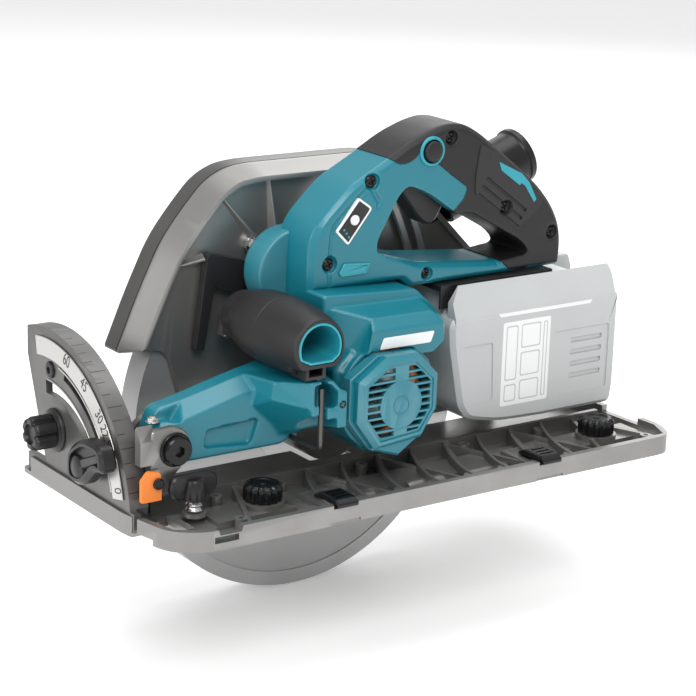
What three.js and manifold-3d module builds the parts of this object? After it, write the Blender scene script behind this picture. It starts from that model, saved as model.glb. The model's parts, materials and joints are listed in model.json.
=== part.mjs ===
// Cordless circular saw with a 270 mm blade, a tilting ribbed base and a front depth pivot.
// Millimetres. X runs along the cut with the front at -X, Y runs across with the motor at -Y
// and the blade at +Y, and Z is up. The sole lies in the plane z = 0.
import * as THREE from 'three';
import { mergeVertices } from 'three/addons/utils/BufferGeometryUtils.js';
import Module from 'manifold-3d';

const wasm = await Module();
wasm.setup();

// ---------------------------------------------------------------- driving dimensions
const GAP = 0.3;                                    // running gap between neighbours
const ARBOR = { x: -15, z: 31 };                    // spindle axis, along Y
const BLADE = { radius: 135, y: 62, thick: 2, teeth: 40, bore: 15 };
const GEAR = { module: 1.5, pinionTeeth: 19, wheelTeeth: 35, pressure: 25, slack: 0.25 };
const CASE = { wheel: 30.3, pinion: 19, wheelRoom: 28.3, pinionRoom: 16.4 };
const CENTRES = GEAR.module * (GEAR.pinionTeeth + GEAR.wheelTeeth) / 2;
const MOTOR_X = -22.5;
const MOTOR = {
  x: MOTOR_X,
  z: ARBOR.z + Math.sqrt(CENTRES ** 2 - (MOTOR_X - ARBOR.x) ** 2),
  coverY: -84, housingFar: 7.5,
};
const TILT = { y: BLADE.y, z: 0 };                  // bevel axis, along X
const PIVOT = { x: -180, z: 54 };                   // depth axis, along Y
const BASE = { length: 430, half: 101, floor: 3, rim: 14, slot: [34, 88], slotX: [-158, 130] };
const QUADRANT = { x: -213, plate: 5, rimDepth: 14, rimIn: 106, rimOut: 112, slot: 70.7 };
const STOP_KNOB = [53.5, 43];                       // its axis on the quadrant's face
const GUARD = { near: 43, skin: 45, far: 80, wall: 3, radius: 139 };
const DEPTH_GUIDE = { in: 262, out: 278, y: [38.3, 41.7], from: -10, to: 36 };
const REAR_GUIDE = { x: 150, thick: 4, slot: 33 };
const HANDLE = { near: -28, split: -5, far: 18 };
const BATTERY = { x: [48, 205], y: [-45, 31], z: [25, 110], rail: 124 };

// ---------------------------------------------------------------- finishes
const finish = (color, roughness, metalness = 0) => ({ color, roughness, metalness });
const TEAL = finish(0x28919f, 0.45);
const RUBBER = finish(0x323032, 0.8);
const BLACK = finish(0x1c1c1e, 0.5);
const CASTING = finish(0x6e6c68, 0.5, 0.7);
const STEEL = finish(0xa8a8a8, 0.35, 1);
const PLATE = finish(0x8b8c8c, 0.4, 0.9);
const COPPER = finish(0xa05a2c, 0.4, 1);
const ORANGE = finish(0xf08c3c, 0.5);
const PALE = finish(0xc4c6c6, 0.5);
const BOARD = finish(0x1f5a37, 0.6);

// ---------------------------------------------------------------- solids
const radians = THREE.MathUtils.degToRad;

function solid(geometry) {
  const bare = geometry.index ? geometry.toNonIndexed() : geometry;
  bare.deleteAttribute('normal');
  bare.deleteAttribute('uv');
  const merged = mergeVertices(bare, 1e-4);
  return new wasm.Manifold(new wasm.Mesh({
    numProp: 3,
    vertProperties: new Float32Array(merged.attributes.position.array),
    triVerts: new Uint32Array(merged.index.array),
  }));
}

function geometryOf(body) {
  const mesh = body.getMesh();
  const geometry = new THREE.BufferGeometry();
  geometry.setAttribute('position', new THREE.BufferAttribute(mesh.vertProperties, 3));
  geometry.setIndex(new THREE.BufferAttribute(mesh.triVerts, 1));
  geometry.computeVertexNormals();
  return geometry;
}

const join = (...bodies) => bodies.reduce((whole, body) => whole.add(body));
const cut = (body, ...tools) => tools.reduce((rest, tool) => rest.subtract(tool), body);

// A closed outline through [a, b] points; a third number rounds that corner, up to half an edge.
function outline(points) {
  const shape = new THREE.Shape();
  points.forEach(([a, b, asked = 0], i) => {
    const here = new THREE.Vector2(a, b);
    const before = new THREE.Vector2(...points.at(i - 1).slice(0, 2)).sub(here);
    const after = new THREE.Vector2(...points[(i + 1) % points.length].slice(0, 2)).sub(here);
    const radius = Math.min(asked, 0.48 * before.length(), 0.48 * after.length());
    const start = here.clone().addScaledVector(before.normalize(), radius);
    const end = here.clone().addScaledVector(after.normalize(), radius);
    if (i === 0) shape.moveTo(start.x, start.y);
    else shape.lineTo(start.x, start.y);
    if (radius) shape.quadraticCurveTo(a, b, end.x, end.y);
  });
  return shape;
}

// The points of an outline, moved inwards by a distance.
function inset(points, distance) {
  const corners = points.map(([a, b]) => new THREE.Vector2(a, b));
  const side = THREE.ShapeUtils.isClockWise(corners) ? -1 : 1;
  return corners.map((corner, i) => {
    const back = corner.clone().sub(corners.at(i - 1)).normalize();
    const ahead = corners[(i + 1) % corners.length].clone().sub(corner).normalize();
    const inward = new THREE.Vector2(-back.y - ahead.y, back.x + ahead.x).normalize();
    const reach = side * distance / (inward.y * back.x - inward.x * back.y);
    return [corner.x + inward.x * reach, corner.y + inward.y * reach];
  });
}

// A band of a circle between two radii and two angles in degrees.
function sector(a, b, inner, outer, from, to) {
  const shape = new THREE.Shape();
  shape.absarc(a, b, outer, radians(from), radians(to), false);
  shape.absarc(a, b, inner, radians(to), radians(from), true);
  return shape;
}

function circle(a, b, radius) {
  const shape = new THREE.Shape();
  shape.absarc(a, b, radius, 0, 2 * Math.PI, false);
  return shape;
}

const PLANES = {
  xy: new THREE.Matrix4(),
  xz: new THREE.Matrix4().makeBasis(
    new THREE.Vector3(1, 0, 0), new THREE.Vector3(0, 0, 1), new THREE.Vector3(0, -1, 0)),
  yz: new THREE.Matrix4().makeBasis(
    new THREE.Vector3(0, 1, 0), new THREE.Vector3(0, 0, 1), new THREE.Vector3(1, 0, 0)),
};

// A shape drawn in a plane and extruded between two values of the remaining axis.
function slab(plane, shape, low, high, { chamfer = 0, steps = 1, arc = 4 } = {}) {
  const drawn = Array.isArray(shape) ? outline(shape) : shape;
  const geometry = new THREE.ExtrudeGeometry(drawn, {
    depth: high - low - 2 * chamfer, curveSegments: arc,
    bevelEnabled: chamfer > 0, bevelThickness: chamfer, bevelSize: chamfer,
    bevelOffset: -chamfer, bevelSegments: steps,
  });
  geometry.applyMatrix4(PLANES[plane]);
  const offset = { xy: [0, 0, low], xz: [0, high, 0], yz: [low, 0, 0] }[plane];
  const inner = { xy: [0, 0, chamfer], xz: [0, -chamfer, 0], yz: [chamfer, 0, 0] }[plane];
  geometry.translate(...offset);
  geometry.translate(...inner);
  return solid(geometry);
}

function box(x, y, z) {
  const geometry = new THREE.BoxGeometry(x[1] - x[0], y[1] - y[0], z[1] - z[0]);
  geometry.translate((x[0] + x[1]) / 2, (y[0] + y[1]) / 2, (z[0] + z[1]) / 2);
  return solid(geometry);
}

// A turned solid: a profile of [radius, height] points about an axis through (a, b).
function turned(axis, [a, b], profile, segments = 24) {
  const points = profile.map(([radius, height]) => new THREE.Vector2(radius, height));
  const geometry = new THREE.LatheGeometry(points, segments);
  if (axis === 'x') geometry.rotateZ(-Math.PI / 2).translate(0, a, b);
  if (axis === 'y') geometry.translate(a, 0, b);
  if (axis === 'z') geometry.rotateX(Math.PI / 2).translate(a, b, 0);
  return solid(geometry);
}

function disc(axis, centre, radius, low, high, segments = 24) {
  return turned(axis, centre, [[0, low], [radius, low], [radius, high], [0, high]], segments);
}

function ring(axis, centre, inner, outer, low, high, segments = 24) {
  const profile = [[inner, low], [outer, low], [outer, high], [inner, high], [inner, low]];
  return turned(axis, centre, profile, segments);
}

function moved(body, x, y, z) {
  return body.translate([x, y, z]);
}

// A body turned by degrees about a line along Y through (x, z).
function turnedAboutY(body, degrees, x, z) {
  return body.translate([-x, 0, -z]).rotate([0, degrees, 0]).translate([x, 0, z]);
}

const arbor = [ARBOR.x, ARBOR.z];
const motorAxis = [MOTOR.x, MOTOR.z];
const depthAxis = [PIVOT.x, PIVOT.z];
// The direction from the motor axis to the arbor, along which the two gears meet.
const MESH_LINE = Math.atan2(ARBOR.z - MOTOR.z, ARBOR.x - MOTOR.x);

// A point on the bevel scale: radius and degrees above the sole on the motor side.
function onTilt(radius, degrees) {
  return [TILT.y - radius * Math.cos(radians(degrees)), radius * Math.sin(radians(degrees))];
}

// ---------------------------------------------------------------- assembly
const saw = new THREE.Group();

function part(name, body, look) {
  const material = new THREE.MeshStandardMaterial(look);
  const mesh = new THREE.Mesh(geometryOf(body), material);
  mesh.name = name;
  saw.add(mesh);
}

// ---------------------------------------------------------------- base and its fittings
const FENCE_SCREW = [-170, -58.5];
const KNOBS = { front: [-118.5, -61], rear: [172, -64] };
const LEVERS = { front: -78, rear: 98 };
const RAIL_GROOVE = [-72, -52];
const FENCE_SLOT = [5, 9.4];

function basePlate() {
  const half = BASE.length / 2;
  const plan = [
    [-half, BASE.half, 6], [half, BASE.half, 10], [half, 20], [half + 5, -20, 14],
    [half + 8, -78, 20], [half - 2, -BASE.half, 12], [-186, -BASE.half, 10], [-206, -88, 12],
    [-half, -44, 8],
  ];
  const inner = inset(plan, 5);
  let base = slab('xy', plan, 0, BASE.rim);
  base = cut(base, slab('xy', inner, BASE.floor, BASE.rim + 1));
  base = cut(base, box([-300, 300], [BASE.slot[1] - 1, 120], [BASE.floor, 20]));
  base = join(base, box([-186, half - 4], [-29, -25], [1, BASE.rim]));
  base = join(base, box([-186, half - 4], [RAIL_GROOVE[0] - 4, RAIL_GROOVE[1] + 4], [1, 8]));
  const ribFrom = -150;
  const ribPitch = 30;
  const ribs = 12;
  for (let i = 0; i < ribs; i += 1) {
    const low = ribFrom + i * ribPitch;
    const ends = i % 2 ? [[low, -27], [low + ribPitch, -98]] : [[low, -98], [low + ribPitch, -27]];
    const side = 1.6;
    base = join(base, slab('xy', [
      [ends[0][0] - side, ends[0][1]], [ends[0][0] + side, ends[0][1]],
      [ends[1][0] + side, ends[1][1]], [ends[1][0] - side, ends[1][1]],
    ], 1, 11));
  }
  for (const knob of Object.values(KNOBS)) base = join(base, disc('z', knob, 15, 1, 11.7));
  for (const x of Object.values(LEVERS)) {
    base = join(base, box([x - 14, x + 14], [-100, -62], [1, 11.7]));
    base = cut(base, box([x - 10, x + 10], [-110, -64], [11.4, 20]));
  }
  base = join(base, disc('z', FENCE_SCREW, 8, 1, 12));
  base = cut(base, box([-180, -162], [-110, FENCE_SCREW[1] + 6], FENCE_SLOT));
  base = cut(base, box([-240, 240], RAIL_GROOVE, [-1, 4]));
  const [slotLow, slotHigh] = BASE.slotX;
  base = cut(base, box([slotLow, slotHigh], BASE.slot, [-5, 30]));
  base = cut(base, box([QUADRANT.x - GAP, -190], [-57, 98], [BASE.floor, 20]));
  base = cut(base, box([-33, 3], [9, BASE.slot[0] + 1], [-5, 30]));
  base = cut(base, disc('z', FENCE_SCREW, 3.4, FENCE_SLOT[0] + 1, 20, 12));
  for (const knob of Object.values(KNOBS)) base = cut(base, disc('z', knob, 3.4, 4, 20, 16));
  return base;
}

function bevelQuadrant() {
  const { x, plate, rimDepth, rimIn, rimOut } = QUADRANT;
  const foot = BASE.floor + GAP;
  let body = slab('yz', sector(TILT.y, 0, 0.1, rimOut, 70, 176), x, x + plate, { arc: 14 });
  body = cut(body, box([-300, 0], [-100, 200], [-20, 10]));
  body = join(body, box([x, x + plate], [-54, 96], [foot, 16]));
  body = cut(body, box([-300, 0], [94, 200], [-20, 200]));
  const rim = slab('yz', sector(TILT.y, 0, rimIn, rimOut, 76, 171), x, x + rimDepth, { arc: 14 });
  body = join(body, rim, box([x, x + 20], [-52, 92], [foot, 7]));
  body = cut(body, slab('yz', sector(TILT.y, 0, QUADRANT.slot - 4.5, QUADRANT.slot + 4.5, 86, 156),
    x - 1, x + plate + 1, { arc: 8 }));
  body = cut(body, slab('yz', sector(TILT.y, 0, 84, 101, 104, 150), x - 1, x + 2.5, { arc: 8 }));
  return cut(body, disc('x', STOP_KNOB, 5.3, -240, -200, 12));
}

function scaleBand() {
  const band = sector(TILT.y, 0, 92, 105.5, 80, 168);
  return slab('yz', band, QUADRANT.x - 1.3, QUADRANT.x - GAP, { arc: 14 });
}

// A fluted hand knob turned about Z.
function flutedKnob([x, y], low, high, radius) {
  const flutes = 8;
  let knob = turned('z', [x, y], [
    [0, low], [radius, low], [radius, high - 3.5], [radius - 3.5, high - 0.6], [0, high]], 24);
  for (let i = 0; i < flutes; i += 1) {
    const turn = (i + 0.5) * 2 * Math.PI / flutes;
    const reach = radius + 1.2;
    const at = [x + reach * Math.cos(turn), y + reach * Math.sin(turn)];
    knob = cut(knob, disc('z', at, 3, low - 1, high + 1, 10));
  }
  return join(knob, disc('z', [x, y], 3, 6, low + 1, 12));
}

function slideLever(x) {
  let lever = box([x - 8.5, x + 8.5], [-104, -74], [12.2, 16.5]);
  for (let i = 0; i < 4; i += 1) {
    const y = -100 + 5 * i;
    lever = join(lever, box([x - 8.5, x + 8.5], [y, y + 2], [16, 18]));
  }
  return lever;
}

function fenceScrew() {
  const stem = turned('z', FENCE_SCREW, [
    [0, 9.6], [2.8, 9.6], [2.8, 20], [8, 20.5], [6.2, 34], [0, 34.6]], 14);
  const [x, y] = FENCE_SCREW;
  const wing = slab('xz', [
    [x - 18, 21, 5], [x + 18, 21, 5], [x + 18, 38, 5], [x - 18, 38, 5]], y, y + 5);
  return join(stem, wing);
}

function fenceSpring() {
  const coils = 2;
  const profile = [[3.3, 12.4]];
  for (let i = 0; i < coils; i += 1) {
    const low = 12.6 + i * 3.6;
    profile.push([5, low], [6, low + 1.2], [5, low + 2.4], [4.4, low + 3.4]);
  }
  profile.push([3.3, 19.8], [3.3, 12.4]);
  return turned('z', FENCE_SCREW, profile, 14);
}

part('base_plate', basePlate(), CASTING);
part('bevel_quadrant', bevelQuadrant(), CASTING);
part('bevel_scale_band', scaleBand(), PALE);
part('rail_knob_front', flutedKnob(KNOBS.front, 12, 24, 13.5), BLACK);
part('rail_knob_rear', flutedKnob(KNOBS.rear, 12, 24, 13.5), BLACK);
part('rail_slide_front', slideLever(LEVERS.front), BLACK);
part('rail_slide_rear', slideLever(LEVERS.rear), BLACK);
part('fence_screw', fenceScrew(), BLACK);
part('fence_screw_spring', fenceSpring(), STEEL);

function bevelStopKnob() {
  const front = QUADRANT.x - GAP;
  let knob = turned('x', STOP_KNOB, [
    [0, front - 20], [10, front - 20], [12, front - 17], [12, front - 4], [8, front], [0, front]], 18);
  const grips = 6;
  for (let i = 0; i < grips; i += 1) {
    const turn = i * 2 * Math.PI / grips;
    const y = STOP_KNOB[0] + 13.5 * Math.cos(turn);
    const z = STOP_KNOB[1] + 13.5 * Math.sin(turn);
    knob = cut(knob, disc('x', [y, z], 3.4, front - 21, front - 5, 8));
  }
  const pin = disc('x', STOP_KNOB, 5, front - 1, QUADRANT.x + QUADRANT.plate + 3, 12);
  return join(knob, pin);
}

function rearBevelGuide() {
  const { x, thick, slot } = REAR_GUIDE;
  const high = x + thick;
  let body = slab('yz', sector(TILT.y, 0, 0.1, slot + 8, 50, 138), x, high, { arc: 8 });
  body = cut(body, box([0, 300], [0, 200], [-20, 8]));
  body = join(body, box([x, high], [33, 86], [BASE.floor + GAP, 22]));
  body = join(body, box([x, x + 18], [36, 84], [BASE.floor + GAP, 7]));
  body = cut(body, slab('yz', sector(TILT.y, 0, slot - 3.3, slot + 3.3, 56, 132),
    x - 1, high + 1, { arc: 6 }));
  return cut(body, box([x - 1, high + 1], [0, 32.5], [-20, 100]));
}

part('bevel_stop_knob', bevelStopKnob(), BLACK);
part('rear_bevel_guide', rearBevelGuide(), CASTING);

// ---------------------------------------------------------------- bevel bracket group
const CLAMP_AT = onTilt(QUADRANT.slot, 28.7);

function frontBracket() {
  const back = QUADRANT.x + QUADRANT.rimDepth + 1;
  const nearEar = slab('xz', [
    [back, 25, 2], [-181.5, 25, 3], [-181, 36, 5], [-170, 45, 8], [-169, 63, 9],
    [-178, 70, 7], [back, 68.5, 3],
  ], -50, -44, { chamfer: 0.8 });
  const farEar = slab('xz', [
    [back, 25], [-175, 25, 3], [-166, 44, 8], [-166, 62, 9], [-178, 69, 8], [-190, 62, 6],
    [back, 44],
  ], -13.4, -8);
  const cross = slab('yz', [
    [-50, 25], [10, 10], [18, 20, 6], [14, 48, 10], [-10, 46], [-44, 44], [-50, 44]], back, back + 7);
  const lip = slab('yz', [
    [-50, 46], [-42.8, 46], [-42.8, 70], [-45, 72], [-50, 62]], -206, back + 3);
  const pointerSeat = box([back, -193], [-51.9, -46], [25, 43]);
  const seat = disc('x', CLAMP_AT, 9, back, back + 9, 20);
  let body = join(nearEar, farEar, cross, lip, pointerSeat, seat);
  body = cut(body, disc('y', depthAxis, 6 + GAP, -60, 0, 20));
  return cut(body, disc('x', CLAMP_AT, 3 + GAP, back - 5, back + 20, 16));
}

function bevelPointer() {
  const body = slab('xz', [
    [-208, 23, 1], [-193, 23, 1], [-193, 30], [-194, 42, 2], [-203, 44, 2], [-208, 38, 1],
  ], -55.3, -52.2);
  return cut(body, disc('y', [-196, 35], 2.4, -70, -40, 12));
}

function clampLever() {
  const [y, z] = CLAMP_AT;
  const front = QUADRANT.x - 1.8;
  const handle = slab('yz', [
    [y + 11, z + 10, 8], [y - 8, z + 24, 10], [y - 34, z + 24, 10], [y - 40, z + 6, 8],
    [y - 26, z + 6, 5], [y - 8, z - 11, 9], [y + 12, z - 11, 9],
  ], front - 13, front, { chamfer: 2 });
  const bolt = disc('x', [y, z], 3, front - 2, QUADRANT.x + QUADRANT.rimDepth + 9, 14);
  return join(handle, bolt);
}

function rearBracket() {
  const back = REAR_GUIDE.x - GAP;
  const pin = onTilt(REAR_GUIDE.slot, 55);
  const plate = slab('yz', [
    [33, 20, 2], [44.4, 20, 2], [48, 30, 4], [48, 42, 5], [36, 46, 4], [33, 40, 2]], back - 4, back);
  const arm = box([99, back - 1], [33.5, 37.9], [20, 32]);
  const stud = disc('x', pin, 3, back - 2, REAR_GUIDE.x + REAR_GUIDE.thick + 5, 14);
  const nut = disc('x', pin, 6, REAR_GUIDE.x + REAR_GUIDE.thick + GAP,
    REAR_GUIDE.x + REAR_GUIDE.thick + 5, 6);
  return join(plate, arm, stud, nut);
}

function depthGuide() {
  const { in: inner, out, y, from, to } = DEPTH_GUIDE;
  let body = slab('xz', sector(PIVOT.x, PIVOT.z, inner, out, from, to), ...y, { arc: 10 });
  body = cut(body, slab('xz', sector(PIVOT.x, PIVOT.z, 267, 273, from + 3, to - 2),
    y[0] - 1, y[1] + 1, { arc: 10 }));
  return join(body, box([80, 112], y, [9, 32]));
}

// A round-headed screw along an axis: head from low to low + head, shank on to high.
function screw(axis, at, headRadius, shankRadius, low, head, high, sides = 16) {
  return turned(axis, at, [
    [0, low], [headRadius - 1, low], [headRadius, low + 1], [headRadius, low + head],
    [shankRadius, low + head], [shankRadius, high], [0, high]], sides);
}

part('front_bracket', frontBracket(), CASTING);
part('bevel_pointer', bevelPointer(), ORANGE);
part('pointer_screw', screw('y', [-196, 35], 4, 2, -58.4, 2.8, -52.3, 12), BLACK);
part('depth_pivot_bolt', cut(
  screw('y', depthAxis, 10, 6, -56, 5.7, -8), disc('y', depthAxis, 4, -60, -53, 6)), BLACK);
part('bevel_clamp_lever', clampLever(), BLACK);
part('rear_bevel_bracket', rearBracket(), PLATE);
part('depth_guide', depthGuide(), PLATE);

// ---------------------------------------------------------------- blade guard
const GUARD_OUTLINE = [
  [-163, 88], [-146, 128], [-128, 164], [-111, 185], [-94, 203], [-78, 211], [-60, 213],
  [55, 212], [85, 186], [112, 160], [150, 122], [142, 88], [133, 58], [129.5, 36], [110, 18], [-112, 18],
  [-126, 60], [-134, 86],
];
const NOZZLE = { x: 96, z: 163, tilt: 20, length: 98, radius: 20, y: 61 };
const LEVER_SWEEP = { in: 60, out: 74 };

// A tube laid along the dust nozzle's axis, which rises to the rear.
function alongNozzle(inner, outer, from, to) {
  const profile = inner
    ? [[inner, from], [outer, from], [outer, to], [inner, to], [inner, from]]
    : [[0, from], [outer, from], [outer, to], [0, to]];
  const tube = turned('x', [0, 0], profile, 20);
  return moved(tube.rotate([0, -NOZZLE.tilt, 0]), NOZZLE.x, NOZZLE.y, NOZZLE.z);
}

function upperGuard() {
  const { near, skin, far, wall } = GUARD;
  let body = slab('xz', GUARD_OUTLINE, near, far, { chamfer: 2 });
  body = cut(body, slab('xz', inset(GUARD_OUTLINE, 8), near - 1, skin));
  body = cut(body, slab('xz', inset(GUARD_OUTLINE, 3.2), skin + wall, far - wall));
  const mouth = [
    [-190, -20], [-190, 92], [-120, 92], [-108, 24], [-100, 22], [100, 22], [118, 36], [190, 36],
    [190, -20]];
  body = cut(body, slab('xz', mouth, skin + wall, far + 5));
  body = cut(body, slab('xz', [[-190, 0], [190, 0], [190, 60], [118, 46], [-126, 46], [-190, 85]],
    far - wall - 0.5, far + 5));
  body = cut(body, caseSlab(CASE.wheel + 0.5, CASE.pinion + 0.5, near - 1, skin));
  body = cut(body, disc('y', arbor, 22 + GAP, near - 5, skin + 5, 28));
  body = cut(body, slab('xz', sector(...arbor, LEVER_SWEEP.in, LEVER_SWEEP.out, -6, 112),
    near - 5, skin + wall + 1, { arc: 8 }));
  body = cut(body, alongNozzle(0, NOZZLE.radius - 3, 0, 80));
  for (const [from, to] of [[[-123, 150], [-106, 150]], [[-90, 197], [-60, 160]], [[-48, 210], [-46, 160]]]) {
    const across = new THREE.Vector2(from[1] - to[1], to[0] - from[0]).setLength(1.6);
    body = join(body, slab('xz', [
      [from[0] + across.x, from[1] + across.y], [to[0] + across.x, to[1] + across.y],
      [to[0] - across.x, to[1] - across.y], [from[0] - across.x, from[1] - across.y],
    ], near - 5, skin + 0.5));
  }
  return body;
}

function dustNozzle() {
  const tube = alongNozzle(NOZZLE.radius - 3, NOZZLE.radius, 8, NOZZLE.length);
  const collar = alongNozzle(NOZZLE.radius - 3, NOZZLE.radius + 2, NOZZLE.length - 34,
    NOZZLE.length - 28);
  const clear = slab('xz', inset(GUARD_OUTLINE, -GAP), GUARD.near - 5, GUARD.far + 5);
  return cut(join(tube, collar), clear);
}

function lowerGuard() {
  const near = GUARD.skin + GUARD.wall + 1;
  const far = BLADE.y + 9;
  const { radius } = GUARD;
  const sweep = [168, 352];
  const turn = { arc: 13 };
  const rim = slab('xz', sector(...arbor, radius - 2, radius, ...sweep), near, far, turn);
  const nearSide = slab('xz', sector(...arbor, 24, radius - 0.5, ...sweep), near, near + 2, turn);
  const farSide = slab('xz', sector(...arbor, 96, radius - 0.5, ...sweep), far - 1.6, far, turn);
  const hub = ring('y', arbor, 22 + GAP, 29, near, near + 4, 28);
  const spoke = slab('xz', sector(...arbor, 24, 72, -8, 16), near, near + 2, { arc: 4 });
  const stud = slab('xz', sector(...arbor, 62.5, 71, -2, 9), GUARD.skin - 1, near + 2, { arc: 3 });
  return join(rim, nearSide, farSide, hub, spoke, stud);
}

function guardLever() {
  const [low, high] = [BATTERY.y[1] + 0.8, GUARD.skin - 1 - GAP];
  let grip = slab('xz', sector(...arbor, 61, 73, -3.5, 11), low, high, { arc: 4 });
  for (const turn of [0, 3.5, 7]) {
    const groove = box([71.8, 75], [low - 1, high + 1], [-0.8, 0.8]);
    grip = cut(grip, turnedAboutY(groove, -turn, 0, 0).translate([ARBOR.x, 0, ARBOR.z]));
  }
  return grip;
}

part('upper_guard', upperGuard(), CASTING);
part('dust_nozzle', dustNozzle(), BLACK);
part('lower_guard', lowerGuard(), PLATE);
part('lower_guard_lever', guardLever(), BLACK);

// ---------------------------------------------------------------- blade and its clamping
function sawBlade() {
  const { radius, y, thick, teeth, bore } = BLADE;
  const points = [];
  for (let i = 0; i < teeth; i += 1) {
    const step = 360 / teeth;
    for (const [share, reach] of [[0, radius], [0.06, radius - 8], [0.35, radius - 9], [0.8, radius - 1.6]]) {
      const turn = radians((i + share) * step);
      points.push([ARBOR.x + reach * Math.cos(turn), ARBOR.z + reach * Math.sin(turn)]);
    }
  }
  let blade = slab('xz', points, y - thick / 2, y + thick / 2);
  blade = cut(blade, disc('y', arbor, bore + GAP, y - 5, y + 5, 28));
  for (let i = 0; i < 4; i += 1) {
    const slit = join(box([108, 140], [y - 5, y + 5], [-0.6, 0.6]),
      disc('y', [107, 0], 3, y - 5, y + 5, 10));
    blade = cut(blade, turnedAboutY(slit, -(i * 90 + 20), 0, 0).translate([ARBOR.x, 0, ARBOR.z]));
  }
  return blade;
}

function innerFlange() {
  return cut(turned('y', arbor, [
    [0, 55.5], [24, 55.5], [24, 60.7], [BLADE.bore, 60.7], [BLADE.bore, 62.7], [0, 62.7]], 32),
  disc('y', arbor, 8 + GAP, 50, 70, 20));
}

function outerFlange() {
  return cut(turned('y', arbor, [[0, 63.3], [24, 63.3], [22, 67], [0, 67]], 32),
    disc('y', arbor, 4.2, 50, 70, 16));
}

function bladeBolt() {
  return join(disc('y', arbor, 7.5, 67.3, 71, 6), disc('y', arbor, 3.8, 53, 68, 14));
}

function spindle() {
  const body = turned('y', arbor, [
    [0, 14], [7.7, 14], [7.7, 25.6], [9.5, 25.6], [9.5, 27], [7.7, 27], [7.7, 62.4], [0, 62.4]], 20);
  return cut(body, disc('y', arbor, 4.1, 52, 70, 14));
}

// A spur wheel: each flank is drawn from the involute of its base circle.
function spurWheel(teeth, axis, low, high, phase, bore) {
  const { module, pressure, slack } = GEAR;
  const pitch = module * teeth / 2;
  const base = pitch * Math.cos(radians(pressure));
  const tip = pitch + 0.9 * module;
  const root = pitch - 1.15 * module;
  const halfTooth = Math.PI / (2 * teeth) - slack / (2 * pitch);
  const involute = (radius) => {
    const ratio = Math.acos(Math.min(1, base / radius));
    return Math.tan(ratio) - ratio;
  };
  const flankFrom = Math.max(base, root) + 0.02;
  const radii = [flankFrom, pitch, tip];
  const half = (radius) => halfTooth + involute(pitch) - involute(radius);
  const points = [];
  for (let i = 0; i < teeth; i += 1) {
    const centre = phase + i * 2 * Math.PI / teeth;
    const flank = [[root, half(flankFrom)], ...radii.map((r) => [r, half(r)])];
    for (const [r, turn] of flank) points.push([r, centre - turn]);
    for (const [r, turn] of flank.toReversed()) points.push([r, centre + turn]);
  }
  const drawn = points.map(([r, turn]) => [
    axis[0] + r * Math.cos(turn), axis[1] + r * Math.sin(turn)]);
  const wheel = slab('xz', drawn, low, high);
  return bore ? cut(wheel, disc('y', axis, bore, low - 1, high + 1, 20)) : wheel;
}

const pinionPhase = MESH_LINE;
const wheelPhase = MESH_LINE + Math.PI + Math.PI / GEAR.wheelTeeth;

// A ball bearing: two races with a shallow shield between them on the near side.
function bearing(axis, inner, outer, low, high) {
  const race = (outer - inner) * 0.28;
  return turned('y', axis, [
    [inner, low], [inner + race, low], [inner + race, low + 0.6], [outer - race, low + 0.6],
    [outer - race, low], [outer, low], [outer, high], [inner, high], [inner, low]], 20);
}

part('saw_blade', sawBlade(), STEEL);
part('inner_flange', innerFlange(), STEEL);
part('outer_flange', outerFlange(), STEEL);
part('blade_bolt', bladeBolt(), STEEL);
part('spindle', spindle(), STEEL);
part('spindle_gear', spurWheel(GEAR.wheelTeeth, arbor, 28, 38, wheelPhase, 8), STEEL);
part('spindle_inner_bearing', bearing(arbor, 8, 16, 14, 23), STEEL);
part('spindle_outer_bearing', bearing(arbor, 8, 16, 44, 53), STEEL);

// ---------------------------------------------------------------- gear case
function caseShape(bigRadius, smallRadius) {
  const gear = circle(...arbor, bigRadius);
  const pinion = circle(...motorAxis, smallRadius);
  const along = MESH_LINE;
  const side = Math.PI / 2;
  const corner = (axis, radius, turn) => [
    axis[0] + radius * Math.cos(turn), axis[1] + radius * Math.sin(turn)];
  const bridge = [
    corner(arbor, bigRadius * 0.98, along + side + 0.45),
    corner(arbor, bigRadius * 0.98, along - side - 0.45),
    corner(motorAxis, smallRadius * 0.98, along - side - 0.45),
    corner(motorAxis, smallRadius * 0.98, along + side + 0.45)];
  return [gear, pinion, outline(bridge)];
}

function caseSlab(bigRadius, smallRadius, low, high) {
  return join(...caseShape(bigRadius, smallRadius).map((shape) => slab('xz', shape, low, high,
    { arc: 14 })));
}

function gearHousing() {
  const body = cut(caseSlab(CASE.wheel, CASE.pinion, 10, 41.6),
    caseSlab(CASE.wheelRoom, CASE.pinionRoom, 24.5, 50));
  return cut(body, disc('y', arbor, 16 + GAP, 13.5, 30, 24),
    disc('y', motorAxis, 13 + GAP, 5, 21, 24), disc('y', motorAxis, 11, 5, 30, 20));
}

function bearingBox() {
  const body = join(caseSlab(CASE.wheel, CASE.pinion, 42, 44.7), disc('y', arbor, 22, 44, 54.2, 28));
  return cut(body, disc('y', arbor, 16 + GAP, 43.7, 60, 24), disc('y', arbor, 10, 40, 60, 20));
}

part('gear_housing', gearHousing(), CASTING);
part('bearing_box', bearingBox(), CASTING);

// ---------------------------------------------------------------- motor
const STATOR = { y: [-58, -20], outer: 33.5, bore: 19.5 };

function stator() {
  const slots = 6;
  const [low, high] = STATOR.y;
  let body = ring('y', motorAxis, STATOR.bore, STATOR.outer, low, high, 36);
  for (let i = 0; i < slots; i += 1) {
    const slot = box([17, 28], [low - 1, high + 1], [-3, 3]);
    body = cut(body, turnedAboutY(slot, i * 60, 0, 0).translate([MOTOR.x, 0, MOTOR.z]));
  }
  return body;
}

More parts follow.
